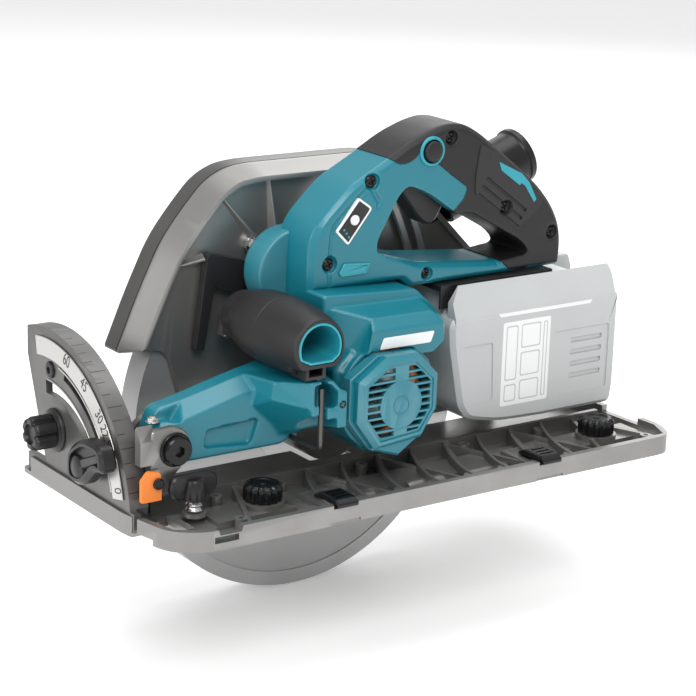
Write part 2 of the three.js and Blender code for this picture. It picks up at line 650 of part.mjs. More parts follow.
function rotorShaft() {
  const shaft = turned('y', motorAxis, [
    [0, -72], [3.8, -72], [3.8, -62], [5, -62], [5, 26], [0, 26]], 16);
  const pinion = spurWheel(GEAR.pinionTeeth, motorAxis, 25, 40, pinionPhase, 0);
  return join(shaft, pinion);
}

function rotorCore() {
  return ring('y', motorAxis, 5.2, 18.6, STATOR.y[0], STATOR.y[1], 32);
}

function coolingFan() {
  const blades = 9;
  let fan = join(ring('y', motorAxis, 5.2, 10, -14, 0, 24), ring('y', motorAxis, 9, 33, -2, 0, 36));
  for (let i = 0; i < blades; i += 1) {
    const blade = box([9, 32.5], [-12, -1], [-0.9, 0.9]);
    fan = join(fan, turnedAboutY(blade, i * 360 / blades, 0, 0).translate([MOTOR.x, 0, MOTOR.z]));
  }
  return fan;
}

part('stator', stator(), COPPER);
part('rotor_shaft', rotorShaft(), STEEL);
part('rotor_core', rotorCore(), STEEL);
part('cooling_fan', coolingFan(), BLACK);
part('motor_rear_bearing', bearing(motorAxis, 4, 9.5, -71, -63), STEEL);
part('motor_front_bearing', bearing(motorAxis, 5.3, 13, 11, 20), STEEL);

const MOTOR_OCTAGON = [
  [-60, 60], [-60, 90], [-38, 104], [-5, 103], [11, 87], [11, 60], [-2, 43], [-21, 31], [-43, 38],
];
const UPPER_BLOCK = [[-62, 104], [-62, 143], [16, 137], [34, 120], [28, 104], [8, 92], [-48, 92]];
const LOGO_BLOCK = [[-42, 104], [-38, 119], [23, 118.5], [23, 103], [14, 96.5], [-33, 99]];

function motorHousing() {
  const far = MOTOR.housingFar;
  let body = join(
    disc('y', motorAxis, 39, -66, far, 36),
    slab('xz', UPPER_BLOCK, -45, 26, { chamfer: 3 }),
    cut(slab('xz', LOGO_BLOCK, -69.5, -40, { chamfer: 2 }),
      slab('xz', inset(MOTOR_OCTAGON, -GAP), -90, -66.1)),
    slab('xz', [[-62, 58], [-62, 90], [-48, 104], [-30, 104], [-30, 58]], -60, -10));
  body = cut(body, disc('y', motorAxis, STATOR.outer + 0.5, -70, far - 3, 36));
  body = cut(body, disc('y', motorAxis, 20, far - 5, 60, 24));
  body = cut(body, box([-45, 15], [-38, 22], [113, 160]));
  body = cut(body, box([-300, 300], [far + GAP, 60], [0, 104]));
  body = cut(body, caseSlab(CASE.wheel + 0.4, CASE.pinion + 0.4, 9, 60));
  return cut(body, slab('xz', sector(...arbor, LEVER_SWEEP.in - 1, LEVER_SWEEP.out + 2, -10, 116),
    20.4, 60, { arc: 10 }));
}

function ventCover() {
  let cover = slab('xz', MOTOR_OCTAGON, MOTOR.coverY, -66.4, { chamfer: 3 });
  cover = cut(cover, disc('y', motorAxis, 32, -81, -60, 32));
  for (let i = 0; i < 9; i += 1) {
    const z = MOTOR.z - 26 + i * 6.5;
    const reach = Math.sqrt(30 ** 2 - (z - MOTOR.z) ** 2);
    cover = cut(cover, box([MOTOR.x - reach, MOTOR.x + reach], [-90, -70], [z - 1.6, z + 1.6]));
  }
  cover = join(cover, disc('y', motorAxis, 14, MOTOR.coverY, -72, 24));
  const spokes = 2;
  for (let i = 0; i < spokes; i += 1) {
    const bar = box([-33, 33], [-81.5, -78], [-2.5, 2.5]);
    cover = join(cover, turnedAboutY(bar, 90 * i + 45, 0, 0).translate([MOTOR.x, 0, MOTOR.z]));
  }
  return cut(cover, disc('y', motorAxis, 9.5 + GAP, -72.5, -60, 20));
}

part('motor_housing', motorHousing(), TEAL);
part('vent_cover', ventCover(), TEAL);

// ---------------------------------------------------------------- front arm and front grip
const GRIP = { x: -89, z: 118, near: -82, far: 16 };

function frontArm() {
  const side = [
    [-188, 43, 5], [-182, 40.5, 4], [-160, 40, 4], [-92, 40], [-64, 52], [-64, 100], [-117, 90],
    [-168, 78, 6], [-182, 76, 6], [-189, 60, 6],
  ];
  let body = slab('xz', side, -42, -14);
  const slope = slab('yz', [[-60, 60], [-42, 70], [-15, 83], [-15, 140], [-60, 140]], -230, -120);
  body = cut(body, turnedAboutY(slope, -14, PIVOT.x, PIVOT.z));
  body = cut(body, disc('y', depthAxis, 6 + GAP, -60, 0, 20));
  body = cut(body, slab('xz', [[-152, 48, 3], [-110, 46, 3], [-106, 66, 3], [-150, 62, 3]], -60, -36));
  const block = slab('xz', [
    [-125, 46], [-112, 40], [-92, 40], [-64.3, 48], [-64.3, 95], [-90, 95], [-120, 84]], -80, -16,
  { chamfer: 2 });
  const corner = slab('xy', [[-140, -90], [-94, -90], [-126, -44], [-140, -44]], 0, 200);
  body = join(body, cut(block, corner));
  body = cut(body, slab('xz', [[-90, 40], [-90, 92], [-74, 92], [-70, 86], [-70, 36]], -90, -70));
  body = cut(body, disc('y', motorAxis, 39.5, -62, 40, 36));
  body = cut(body, disc('y', [GRIP.x, GRIP.z], 25.5, -66, 40, 28));
  body = cut(body, box([-62.4, 0], [-100, 40], [0, 200]));
  const clips = [box([-93, -87], [-77, -71], [59, 70]), box([-93, -87], [-77, -71], [78, 86])];
  return cut(join(body, ...clips), disc('y', [-83, 44], 2.5, -90, -20, 6));
}

// The front grip's section, flattened along its lower front side.
function gripSection(radius, low) {
  const shape = new THREE.Shape();
  shape.absarc(GRIP.x, GRIP.z, radius, radians(-24), radians(204), false);
  shape.lineTo(GRIP.x - radius * 0.45, GRIP.z - low);
  shape.lineTo(GRIP.x + radius * 0.6, GRIP.z - low);
  return shape;
}

function gripCore() {
  const core = slab('xz', gripSection(17, 11), GRIP.near, GRIP.far, { arc: 10 });
  const bore = slab('xz', gripSection(14.5, 8.5), GRIP.near - 1, GRIP.far - 6, { arc: 10 });
  const foot = slab('xz', [[-104, 104], [-76, 104], [-62.3, 108], [-62.3, 132], [-76, 130],
    [-104, 128]], 4, GRIP.far);
  return join(cut(core, bore), cut(foot, slab('xz', gripSection(14.5, 8.5), -60, 10)));
}

function frontGrip() {
  const { x, z, near, far } = GRIP;
  const sleeve = turned('y', [x, z], [
    [0, near], [19.5, near], [22.5, near + 12], [25, near + 38], [24, near + 66],
    [20, far - 14], [0, far - 14]], 28);
  const below = box([x - 40, x + 40], [near - 1, near + 14], [z - 40, z - 14]);
  const strut = box([-99, -82], [-79, -52], [95.6, 104]);
  const body = join(cut(sleeve, below), strut);
  return cut(body, slab('xz', gripSection(17.3, 11.3), near - 5, far + 5, { arc: 10 }),
    box([-62.3, 0], [-100, 40], [0, 200]));
}

function hexWrench() {
  const radius = 2;
  const at = [-83, -75.4];
  const foot = disc('y', [-83, 44], radius, -77.4, -24, 6);
  return join(disc('z', at, radius, 44, 88, 6), foot);
}

part('front_arm', frontArm(), TEAL);
part('grip_core', gripCore(), TEAL);
part('front_grip', frontGrip(), RUBBER);
part('hex_wrench', hexWrench(), STEEL);

// ---------------------------------------------------------------- handle
const HANDLE_OUTLINE = [
  [-62.5, 143.6], [-62.5, 160], [-61, 176], [-55, 187], [-31, 209], [3, 227], [21, 237],
  [42, 244.5], [56, 246.5], [68, 244.5], [81, 237.5], [117, 210], [137, 194], [151, 178],
  [159, 163], [161.5, 148], [160, 131.5], [110, 131.5], [24, 131.5], [16.5, 137.7],
];
const FINGER_GAP = [
  [-6, 161], [-5.5, 169, 4], [12, 199.5, 6], [19, 205, 4], [36, 198.5], [58, 184, 3],
  [64, 180.5, 3], [74, 181.5, 5], [122, 155, 8], [131, 144, 6], [104, 141.5, 4], [32, 149],
];
const SWITCH_ROOM = [[8, 190], [6, 212], [16, 232], [56, 230], [70, 214],
  [68, 176], [20, 176]];
const TRIGGER_PIVOT = [14, 214];
const LOCK_BUTTON = [37.5, 228];
const PANEL = [[-23.7, 201.8], [-11.2, 193], [-31.7, 168.4], [-42.7, 179.8]];
const PANEL_BUTTON = [-26.6, 186.2];

function handleBody() {
  const { near, far, split } = HANDLE;
  let body = slab('xz', HANDLE_OUTLINE, near, far, { chamfer: 6, steps: 2 });
  body = cut(body, slab('xz', FINGER_GAP, near - 5, far + 5));
  body = cut(body, slab('xz', [[-58, 140], [-58, 172], [-30, 202], [-16, 192], [-24, 168],
    [-14, 152], [16, 144], [10, 130]], near + 4, far - 4));
  body = cut(body, slab('xz', SWITCH_ROOM, split - 13, split + 13));
  const panel = slab('xz', PANEL, near - 1, near + 3.4);
  return cut(body, panel, box([46, 152], [-36, 26], [100, 131.5 + GAP]));
}

function handleHalf(low, high) {
  return cut(handleBody().intersect(box([-200, 300], [low, high], [0, 400])));
}

function handleNear() {
  const [x, z] = LOCK_BUTTON;
  return cut(handleHalf(-100, HANDLE.split - GAP / 2), disc('y', [x, z], 7.9, -60, -10, 20));
}

function trigger() {
  const [x, z] = TRIGGER_PIVOT;
  const body = slab('xz', [
    [x - 5, z + 4, 3], [x + 6, z + 4, 3], [50, 210], [62, 188, 3], [53, 173, 4], [46, 171.5, 4],
    [38, 177.5, 4], [22, 197, 4], [x - 5, z - 4, 3]], HANDLE.split - 9, HANDLE.split + 9, { chamfer: 2 });
  return body;
}

function lockButton() {
  return turned('y', LOCK_BUTTON, [
    [0, -31.5], [5.6, -31.5], [7.6, -30.3], [7.6, -18.2], [0, -18.2]], 20);
}

part('handle_near_shell', handleNear(), TEAL);
part('handle_far_shell', handleHalf(HANDLE.split + GAP / 2, 100), TEAL);
part('trigger', trigger(), BLACK);
part('lock_off_button', lockButton(), BLACK);
part('switch_unit', box([33, 55], [-14, 4], [218.6, 228]), BLACK);
part('control_panel', cut(
  slab('xz', inset(PANEL, GAP), HANDLE.near + 0.6, HANDLE.near + 3.1),
  disc('y', PANEL_BUTTON, 3.6 + GAP, -60, 0, 16)), BLACK);
part('panel_button', disc('y', PANEL_BUTTON, 3.6, HANDLE.near - 0.6, HANDLE.near + 2.8, 16), PALE);
part('controller_board', box([-42, 12], [-34, 18], [116, 128]), BOARD);

// ---------------------------------------------------------------- battery
function batteryRail() {
  const plate = box([47, 151], [-34, 24], [127.5, 131.5]);
  const nearSide = box([47, 151], [-34, -30.4], [112, 128]);
  const farSide = box([47, 151], [20.4, 24], [112, 128]);
  return join(plate, nearSide, farSide, box([47, 52], [-34, 24], [112, 128]));
}

function batteryPack() {
  const { x, y, z, rail } = BATTERY;
  let pack = slab('xz', [
    [x[0], z[0] + 14], [x[0] + 5, z[1]], [x[1], z[1]], [x[1], z[0]], [x[0] + 12, z[0]],
  ], ...y, { chamfer: 4, steps: 2 });
  pack = join(pack, box([x[0] + 6, x[1] - 30], [-28, 18], [z[1] - 2, rail + 2]));
  return cut(pack, box([x[1] - 30, x[1] + 5], [-24, 10], [z[1] - 20.5, z[1] + 1]));
}

part('battery_rail', batteryRail(), BLACK);
part('battery_pack', batteryPack(), PALE);
part('battery_button', box([176, 203], [-23, 9], [92.3, 108]), BLACK);

// ---------------------------------------------------------------- fittings at the front
function bracketFrame() {
  return slab('xz', [
    [-104, 158, 4], [-72, 149, 4], [-72, 128, 3], [-84, 128], [-98, 133], [-106, 88], [-113, 90],
  ], 36, 42.6);
}

// A ribbed pad whose plunger points at the arbor.
function shaftLock() {
  const ribs = 3;
  let pad = slab('xz', [[-97, 100], [-84, 96], [-78, 118], [-90, 122]], 24, 35.6, { chamfer: 1 });
  const plunger = turnedAboutY(disc('x', [30, 0], 3, -98, -47.5, 8), 47, 0, 0);
  for (let i = 0; i < ribs; i += 1) {
    const rib = slab('xz', [[-94.5 + 4 * i, 101 - i], [-93 + 4 * i, 100.5 - i],
      [-88 + 4 * i, 119 - i], [-89.5 + 4 * i, 119.5 - i]], 22.8, 24.5);
    pad = join(pad, rib);
  }
  return join(pad, moved(plunger, ARBOR.x, 0, ARBOR.z));
}

function depthLever() {
  const at = [PIVOT.x + 270 * Math.cos(radians(-4)), PIVOT.z + 270 * Math.sin(radians(-4))];
  const arm = slab('xz', [
    [at[0] - 9, at[1] - 9, 6], [at[0] + 9, at[1] - 9, 6], [at[0] + 9, at[1] + 10],
    [at[0] + 16, 112, 6], [at[0] + 4, 112, 6], [at[0] - 8, at[1] + 10]], 32.4, 37.6);
  return join(arm, disc('y', at, 2.7, 34, 44.6, 14));
}

part('front_bracket_frame', bracketFrame(), BLACK);
part('shaft_lock', shaftLock(), BLACK);
part('depth_clamp_lever', depthLever(), BLACK);

export default saw;
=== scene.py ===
"""The look of the circular saw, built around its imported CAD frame.

Lengths inside the shape helpers are millimetres in the frame's own axes: the front is at -X,
the motor at -Y, the blade at +Y, and the sole at z = 0.
"""

import json
import math

import bmesh
import bpy
from mathutils import Matrix, Vector


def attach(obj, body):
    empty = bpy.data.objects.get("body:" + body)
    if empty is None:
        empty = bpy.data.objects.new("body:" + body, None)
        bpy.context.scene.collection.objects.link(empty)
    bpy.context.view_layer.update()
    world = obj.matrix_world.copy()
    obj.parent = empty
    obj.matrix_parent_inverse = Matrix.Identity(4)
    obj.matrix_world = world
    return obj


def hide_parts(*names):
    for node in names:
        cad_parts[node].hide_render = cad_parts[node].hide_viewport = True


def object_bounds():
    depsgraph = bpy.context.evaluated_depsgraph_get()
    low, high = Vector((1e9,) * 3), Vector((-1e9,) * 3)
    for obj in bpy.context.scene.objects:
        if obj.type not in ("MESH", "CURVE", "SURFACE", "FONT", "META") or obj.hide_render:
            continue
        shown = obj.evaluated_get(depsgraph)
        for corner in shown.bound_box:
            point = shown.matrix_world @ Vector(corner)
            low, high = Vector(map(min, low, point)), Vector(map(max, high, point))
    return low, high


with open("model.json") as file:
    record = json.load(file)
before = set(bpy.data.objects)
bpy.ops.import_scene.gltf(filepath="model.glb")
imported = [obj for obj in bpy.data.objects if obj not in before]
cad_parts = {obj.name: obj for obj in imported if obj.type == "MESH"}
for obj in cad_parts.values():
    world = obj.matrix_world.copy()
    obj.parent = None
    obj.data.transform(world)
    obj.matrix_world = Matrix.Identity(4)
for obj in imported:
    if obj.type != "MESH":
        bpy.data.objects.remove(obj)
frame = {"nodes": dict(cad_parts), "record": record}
CAD_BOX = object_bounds()
NODES = frame["nodes"]

MM = 0.001
TILT_Y = 62.0                       # the bevel axis runs along X through (y, z) = (62, 0)
ARBOR = (-15.0, 31.0)               # x and z of the blade's axis
MOTOR = (-22.5, 70.8)               # x and z of the motor's axis
PIVOT = (-180.0, 54.0)              # x and z of the depth axis
GRIP = (-89.0, 118.0)               # x and z of the front grip's axis


# ------------------------------------------------------------------ camera, stage and lights
def set_stage():
    data = bpy.data.cameras.new("camera")
    camera = bpy.data.objects.new("camera", data)
    bpy.context.scene.collection.objects.link(camera)
    place = Vector((-0.8897, -1.2406, 0.5300))
    target = Vector((-0.0091, 0.0001, 0.0858))
    ahead = (target - place).normalized()
    right = ahead.cross(Vector((0, 0, 1))).normalized()
    up = right.cross(ahead)
    roll = math.radians(1.82)
    side = math.cos(roll) * right + math.sin(roll) * up
    top = math.cos(roll) * up - math.sin(roll) * right
    turn = Matrix((side, top, -ahead)).transposed().to_4x4()
    camera.matrix_world = Matrix.Translation(place) @ turn
    data.sensor_width = 36
    data.lens = 115.9
    data.clip_start = 0.05
    bpy.context.scene.camera = camera

    floor_mesh = bpy.data.meshes.new("floor")
    z = CAD_BOX[0].z - 0.0005
    floor_mesh.from_pydata([(-9, -9, z), (9, -9, z), (9, 9, z), (-9, 9, z)], [], [(0, 1, 2, 3)])
    floor = bpy.data.objects.new("floor", floor_mesh)
    bpy.context.scene.collection.objects.link(floor)
    floor.data.materials.append(plain("floor_paper", (0.93, 0.93, 0.93), 0.9))

    world = bpy.data.worlds.new("studio")
    bpy.context.scene.world = world
    world.use_nodes = True
    shade = world.node_tree.nodes["Background"]
    shade.inputs["Color"].default_value = (1, 1, 1, 1)
    shade.inputs["Strength"].default_value = 0.62

    lamp("key", (-0.9, -1.5, 1.7), 1.0, 27)
    lamp("top", (0.2, 0.1, 2.0), 1.4, 20)
    lamp("side", (-2.2, 0.1, 0.9), 1.0, 14)
    lamp("rear", (1.6, 1.6, 1.3), 1.4, 14)
    bpy.context.scene.view_settings.view_transform = "Standard"


def lamp(name, place, size, power):
    data = bpy.data.lights.new(name, "AREA")
    data.size = size
    data.energy = power
    light = bpy.data.objects.new(name, data)
    bpy.context.scene.collection.objects.link(light)
    light.location = place
    light.rotation_mode = "QUATERNION"
    light.rotation_quaternion = (Vector(place) - Vector((0, 0, 0.1))).to_track_quat("Z", "Y")


# ------------------------------------------------------------------ materials
MIX_FACTOR, MIX_A, MIX_B, MIX_RESULT = 0, 6, 7, 2      # the colour sockets of a mix node


def plain(name, color, rough):
    made = bpy.data.materials.new(name)
    made.use_nodes = True
    shader = made.node_tree.nodes["Principled BSDF"]
    shader.inputs["Base Color"].default_value = (*color, 1)
    shader.inputs["Roughness"].default_value = rough
    shader.inputs["Emission Color"].default_value = (1, 1, 1, 1)
    shader.inputs["Emission Strength"].default_value = 0.2
    return made


def surface(name, color, rough, metal=0.0, grain=2600.0, bump=0.12, mottle=0.12, spread=0.12,
            wear_and_edge_highlight=0.0, stretch=(1, 1, 1), coat=0.0, scratch=0.0, shine=0.5):
    """Colour mottling, edges lightened partly as wear and partly as a painted highlight, uneven
    roughness and a moulded or ground grain.
    """
    made = bpy.data.materials.new(name)
    made.use_nodes = True
    tree = made.node_tree
    link = tree.links.new
    shader = tree.nodes["Principled BSDF"]
    shader.inputs["Metallic"].default_value = metal
    shader.inputs["Specular IOR Level"].default_value = shine
    shader.inputs["Coat Weight"].default_value = coat
    shader.inputs["Coat Roughness"].default_value = 0.25

    def node(kind, **values):
        made_node = tree.nodes.new(kind)
        for key, value in values.items():
            made_node.inputs[key].default_value = value
        return made_node

    place = tree.nodes.new("ShaderNodeTexCoord")
    mapping = node("ShaderNodeMapping", Scale=stretch)
    link(place.outputs["Object"], mapping.inputs["Vector"])
    broad = node("ShaderNodeTexNoise", Scale=28.0, Detail=4.0)
    fine = node("ShaderNodeTexNoise", Scale=grain, Detail=2.0)
    link(mapping.outputs["Vector"], broad.inputs["Vector"])
    link(mapping.outputs["Vector"], fine.inputs["Vector"])

    tone = node("ShaderNodeMix")
    tone.data_type = "RGBA"
    dark = [c * (1 - mottle) for c in color]
    light = [min(1.0, c * (1 + mottle)) for c in color]
    tone.inputs[MIX_A].default_value = (*dark, 1)
    tone.inputs[MIX_B].default_value = (*light, 1)
    link(broad.outputs["Fac"], tone.inputs[MIX_FACTOR])
    colour = tone.outputs[MIX_RESULT]
    # Convex edges (pointiness) are lightened in noisy patches: partly edge wear, partly a painted
    # highlight along the edges.
    if wear_and_edge_highlight:
        shape = tree.nodes.new("ShaderNodeNewGeometry")
        edge = node("ShaderNodeMapRange")
        edge.inputs["From Min"].default_value = 0.515
        edge.inputs["From Max"].default_value = 0.60
        link(shape.outputs["Pointiness"], edge.inputs["Value"])
        wear_highlight_mask = tree.nodes.new("ShaderNodeMath")
        wear_highlight_mask.operation = "MULTIPLY"
        link(edge.outputs["Result"], wear_highlight_mask.inputs[0])
        link(broad.outputs["Fac"], wear_highlight_mask.inputs[1])
        wear_highlight_mix = node("ShaderNodeMix")
        wear_highlight_mix.data_type = "RGBA"
        link(wear_highlight_mask.outputs["Value"], wear_highlight_mix.inputs[MIX_FACTOR])
        link(colour, wear_highlight_mix.inputs[MIX_A])
        wear_highlight_mix.inputs[MIX_B].default_value = (*[min(1.0, c + wear_and_edge_highlight) for c in color], 1)
        colour = wear_highlight_mix.outputs[MIX_RESULT]
    link(colour, shader.inputs["Base Color"])

    gloss = node("ShaderNodeMapRange")
    gloss.inputs["To Min"].default_value = max(0.05, rough - spread)
    gloss.inputs["To Max"].default_value = min(1.0, rough + spread)
    link(broad.outputs["Fac"], gloss.inputs["Value"])
    link(gloss.outputs["Result"], shader.inputs["Roughness"])

    height = fine.outputs["Fac"]
    if scratch:
        marks = node("ShaderNodeTexNoise", Scale=90.0, Detail=6.0)
        long_map = node("ShaderNodeMapping", Scale=(1.0, 14.0, 14.0))
        link(place.outputs["Object"], long_map.inputs["Vector"])
        link(long_map.outputs["Vector"], marks.inputs["Vector"])
        both = node("ShaderNodeMath")
        both.operation = "ADD"
        link(fine.outputs["Fac"], both.inputs[0])
        link(marks.outputs["Fac"], both.inputs[1])
        height = both.outputs["Value"]
    relief = node("ShaderNodeBump", Strength=bump, Distance=0.0004)
    link(height, relief.inputs["Height"])
    link(relief.outputs["Normal"], shader.inputs["Normal"])
    return made


MATERIALS = {
    "teal": surface("teal_nylon", (0.005, 0.168, 0.222), 0.33, bump=0.10, mottle=0.05, wear_and_edge_highlight=0.10,
                    spread=0.06, coat=0.12),
    "teal_light": surface("teal_trim", (0.02, 0.30, 0.37), 0.32, bump=0.08, mottle=0.05),
    "rubber": surface("overmould", (0.0125, 0.0115, 0.0125), 0.46, grain=3400, bump=0.25,
                      mottle=0.15, wear_and_edge_highlight=0.03, shine=0.4),
    "rubber_grain": surface("overmould_grain", (0.026, 0.024, 0.026), 0.62, grain=620,
                            bump=1.0, mottle=0.2, shine=0.4),
    "black_plastic": surface("black_nylon", (0.012, 0.012, 0.013), 0.30, bump=0.15,
                             mottle=0.15, wear_and_edge_highlight=0.03, shine=0.3),
    "gloss_black": surface("gloss_black_nylon", (0.007, 0.007, 0.008), 0.24, bump=0.05,
                           mottle=0.15, spread=0.05, shine=0.4),
    "dark_steel": surface("tempered_steel", (0.10, 0.095, 0.09), 0.32, metal=0.8, bump=0.05),
    "black_steel": surface("black_steel", (0.015, 0.015, 0.016), 0.26, metal=0.6, bump=0.05),
    "casting": surface("cast_metal", (0.215, 0.21, 0.203), 0.34, metal=0.65, grain=1500,
                       bump=0.18, mottle=0.05, wear_and_edge_highlight=0.12, spread=0.03),
    "guard": surface("cast_guard", (0.165, 0.160, 0.152), 0.34, metal=0.7, grain=1500,
                     bump=0.14, mottle=0.07, wear_and_edge_highlight=0.25, spread=0.04),
    # A darker copy of the cast metal; on the upper guard's far casting it is painted shade.
    "dark_casting": surface("dark_cast_metal", (0.085, 0.083, 0.080), 0.36, metal=0.6,
                            grain=1500, bump=0.10, mottle=0.05, wear_and_edge_highlight=0.1, spread=0.03),
    # A lighter copy of the guard's cast metal: painted light on the upper guard's near face.
    "guard_near": surface("guard_near_casting", (0.30, 0.295, 0.285), 0.32, metal=0.75,
                          grain=1500, bump=0.10, mottle=0.05, wear_and_edge_highlight=0.1, spread=0.03),
    "bright": surface("bright_cast", (0.52, 0.51, 0.49), 0.30, metal=0.9, grain=1500,
                      bump=0.15, mottle=0.08),
    "steel": surface("ground_steel", (0.50, 0.49, 0.48), 0.28, metal=1.0, grain=900,
                     bump=0.06, stretch=(1, 1, 6), scratch=0.4, mottle=0.08),
    "plate": surface("coated_plate", (0.36, 0.36, 0.36), 0.34, metal=0.55, grain=2000,
                     bump=0.05, mottle=0.06, scratch=0.3, wear_and_edge_highlight=0.2),
    "copper": surface("windings", (0.48, 0.19, 0.08), 0.35, metal=1.0, grain=500, bump=0.3),
    "orange": surface("orange_nylon", (0.83, 0.23, 0.035), 0.42, bump=0.12, mottle=0.06),
    "pale_plastic": surface("pale_nylon", (0.47, 0.485, 0.485), 0.38, bump=0.10, mottle=0.05,
                            coat=0.15),
    "white_plastic": surface("pale_panel", (0.78, 0.79, 0.79), 0.34, bump=0.06, mottle=0.04),
    "board": surface("potted_board", (0.02, 0.13, 0.06), 0.35, grain=700, bump=0.4),
    "scale": surface("scale_paint", (0.70, 0.70, 0.67), 0.32, metal=0.2, bump=0.08,
                     mottle=0.06),
    "ink": surface("ink", (0.02, 0.02, 0.02), 0.5, bump=0.05),
    "paint": surface("white_paint", (0.85, 0.86, 0.86), 0.4, bump=0.04, mottle=0.03),
}
STOOD_FOR = set()                   # CAD nodes that a built piece stands for
MATERIAL_OF_NODE = {part["node"]: part["material_slot"] for part in frame["record"]["subparts"]}


# ------------------------------------------------------------------ shape helpers
PLANES = {"xy": (0, 1, 2), "xz": (0, 2, 1), "yz": (1, 2, 0)}


def close_up(made, reach=0.001):
    """Joins touching corners and turns every face outwards."""
    work = bmesh.new()
    work.from_mesh(made.data)
    bmesh.ops.remove_doubles(work, verts=work.verts, dist=reach * MM)
    bmesh.ops.recalc_face_normals(work, faces=work.faces)
    work.to_mesh(made.data)
    work.free()


def mesh_object(name, verts, faces):
    mesh = bpy.data.meshes.new(name)
    mesh.from_pydata([(x * MM, y * MM, z * MM) for x, y, z in verts], [], faces)
    made = bpy.data.objects.new(name, mesh)
    bpy.context.scene.collection.objects.link(made)
    close_up(made, 0.0001)
    return made


def rounded(points, steps=5):
    """A closed outline of (a, b) or (a, b, radius) points with its corners rounded."""
    out = []
    count = len(points)
    for i, point in enumerate(points):
        here = Vector(point[:2])
        radius = point[2] if len(point) > 2 else 0
        if not radius:
            out.append(tuple(here))
            continue
        back = Vector(points[i - 1][:2]) - here
        ahead = Vector(points[(i + 1) % count][:2]) - here
        reach = min(radius, 0.48 * back.length, 0.48 * ahead.length)
        start = here + back.normalized() * reach
        end = here + ahead.normalized() * reach
        for k in range(steps + 1):
            t = k / steps
            at = (1 - t) ** 2 * start + 2 * t * (1 - t) * here + t * t * end
            out.append(tuple(at))
    return out


def in_plane(plane, a, b, c):
    place = [0, 0, 0]
    for index, value in zip(PLANES[plane], (a, b, c)):
        place[index] = value
    return tuple(place)


def loft(name, sections):
    """A closed skin through sections of equal point counts, capped at both ends."""
    count = len(sections[0])
    verts = [point for section in sections for point in section]
    faces = [tuple(range(count))[::-1], tuple(range((len(sections) - 1) * count,
                                                    len(sections) * count))]
    for s in range(len(sections) - 1):
        for i in range(count):
            j = (i + 1) % count
            faces.append((s * count + i, s * count + j, (s + 1) * count + j,
                          (s + 1) * count + i))
    return mesh_object(name, verts, faces)


def slab(name, plane, points, low, high, chamfer=0.0):
    outline = rounded(points)
    if not chamfer:
        return loft(name, [[in_plane(plane, a, b, c) for a, b in outline]
                           for c in (low, high)])
    small = offset(outline, chamfer)
    levels = [(small, low), (outline, low + chamfer), (outline, high - chamfer), (small, high)]
    return loft(name, [[in_plane(plane, a, b, c) for a, b in line] for line, c in levels])


def offset(points, distance):
    """The outline moved inwards by a distance."""
    area = sum(points[i - 1][0] * points[i][1] - points[i][0] * points[i - 1][1]
               for i in range(len(points)))
    side = 1 if area > 0 else -1
    out = []
    for i, point in enumerate(points):
        here = Vector(point[:2])
        back = (here - Vector(points[i - 1][:2]))
        ahead = (Vector(points[(i + 1) % len(points)][:2]) - here)
        if back.length < 1e-9:
            back = ahead
        if ahead.length < 1e-9:
            ahead = back
        back, ahead = back.normalized(), ahead.normalized()
        inward = Vector((-back.y - ahead.y, back.x + ahead.x)).normalized() * side
        lean = max(0.35, abs(inward.dot(Vector((-back.y, back.x)))))
        out.append(tuple(here + inward * (distance / lean)))
    return out


def box(name, x, y, z):
    return slab(name, "xy", [(x[0], y[0]), (x[1], y[0]), (x[1], y[1]), (x[0], y[1])], *z)


def lathe(name, axis, centre, profile, segments=48):
    """A solid turned about an axis through (a, b), from (radius, height) points."""
    plane = {"x": "yz", "y": "xz", "z": "xy"}[axis]
    sections = []
    for i in range(segments):
        turn = 2 * math.pi * i / segments
        sections.append([in_plane(plane, centre[0] + r * math.cos(turn),
                                  centre[1] + r * math.sin(turn), h) for r, h in profile])
    count = len(profile)
    verts = [p for section in sections for p in section]
    faces = []
    for s in range(segments):
        t = (s + 1) % segments
        for i in range(count - 1):
            faces.append((s * count + i, s * count + i + 1, t * count + i + 1, t * count + i))
    closed = abs(profile[0][0]) < 1e-9 and abs(profile[-1][0]) < 1e-9
    if not closed:
        for s in range(segments):
            t = (s + 1) % segments
            faces.append((s * count + count - 1, s * count, t * count, t * count + count - 1))
    made = mesh_object(name, verts, faces)
    shell = bmesh.new()
    shell.from_mesh(made.data)
    bmesh.ops.dissolve_degenerate(shell, edges=shell.edges, dist=1e-7)
    shell.to_mesh(made.data)
    shell.free()
    return made


def disc(name, axis, centre, radius, low, high, segments=40):
    return lathe(name, axis, centre, [(0, low), (radius, low), (radius, high), (0, high)],
                 segments)


def sector(centre, inner, outer, start, end, steps=40):
    """A band of a circle in the (a, b) plane, with angles in degrees."""
    outer_line = []
    inner_line = []
    for k in range(steps + 1):
        turn = math.radians(start + (end - start) * k / steps)
        way = Vector((math.cos(turn), math.sin(turn)))
        outer_line.append(tuple(Vector(centre) + way * outer))
        inner_line.append(tuple(Vector(centre) + way * inner))
    return outer_line + inner_line[::-1]


def tube(name, points, radius, sides=12):
    """A round bar along a path of points."""
    path = [Vector(p) for p in points]
    sections = []
    up = Vector((0.13, 0.21, 0.97)).normalized()
    for i, p in enumerate(path):
        ahead = (path[min(i + 1, len(path) - 1)] - path[max(i - 1, 0)]).normalized()
        side = ahead.cross(up).normalized()
        top = side.cross(ahead)
        sections.append([tuple(p + radius * (math.cos(2 * math.pi * k / sides) * side
                                             + math.sin(2 * math.pi * k / sides) * top))
                         for k in range(sides)])
    return loft(name, sections)


def freeze(made):
    """Applies an object's modifiers."""
    view = bpy.context.evaluated_depsgraph_get()
    mesh = bpy.data.meshes.new_from_object(made.evaluated_get(view))
    made.modifiers.clear()
    made.data = mesh
    return made


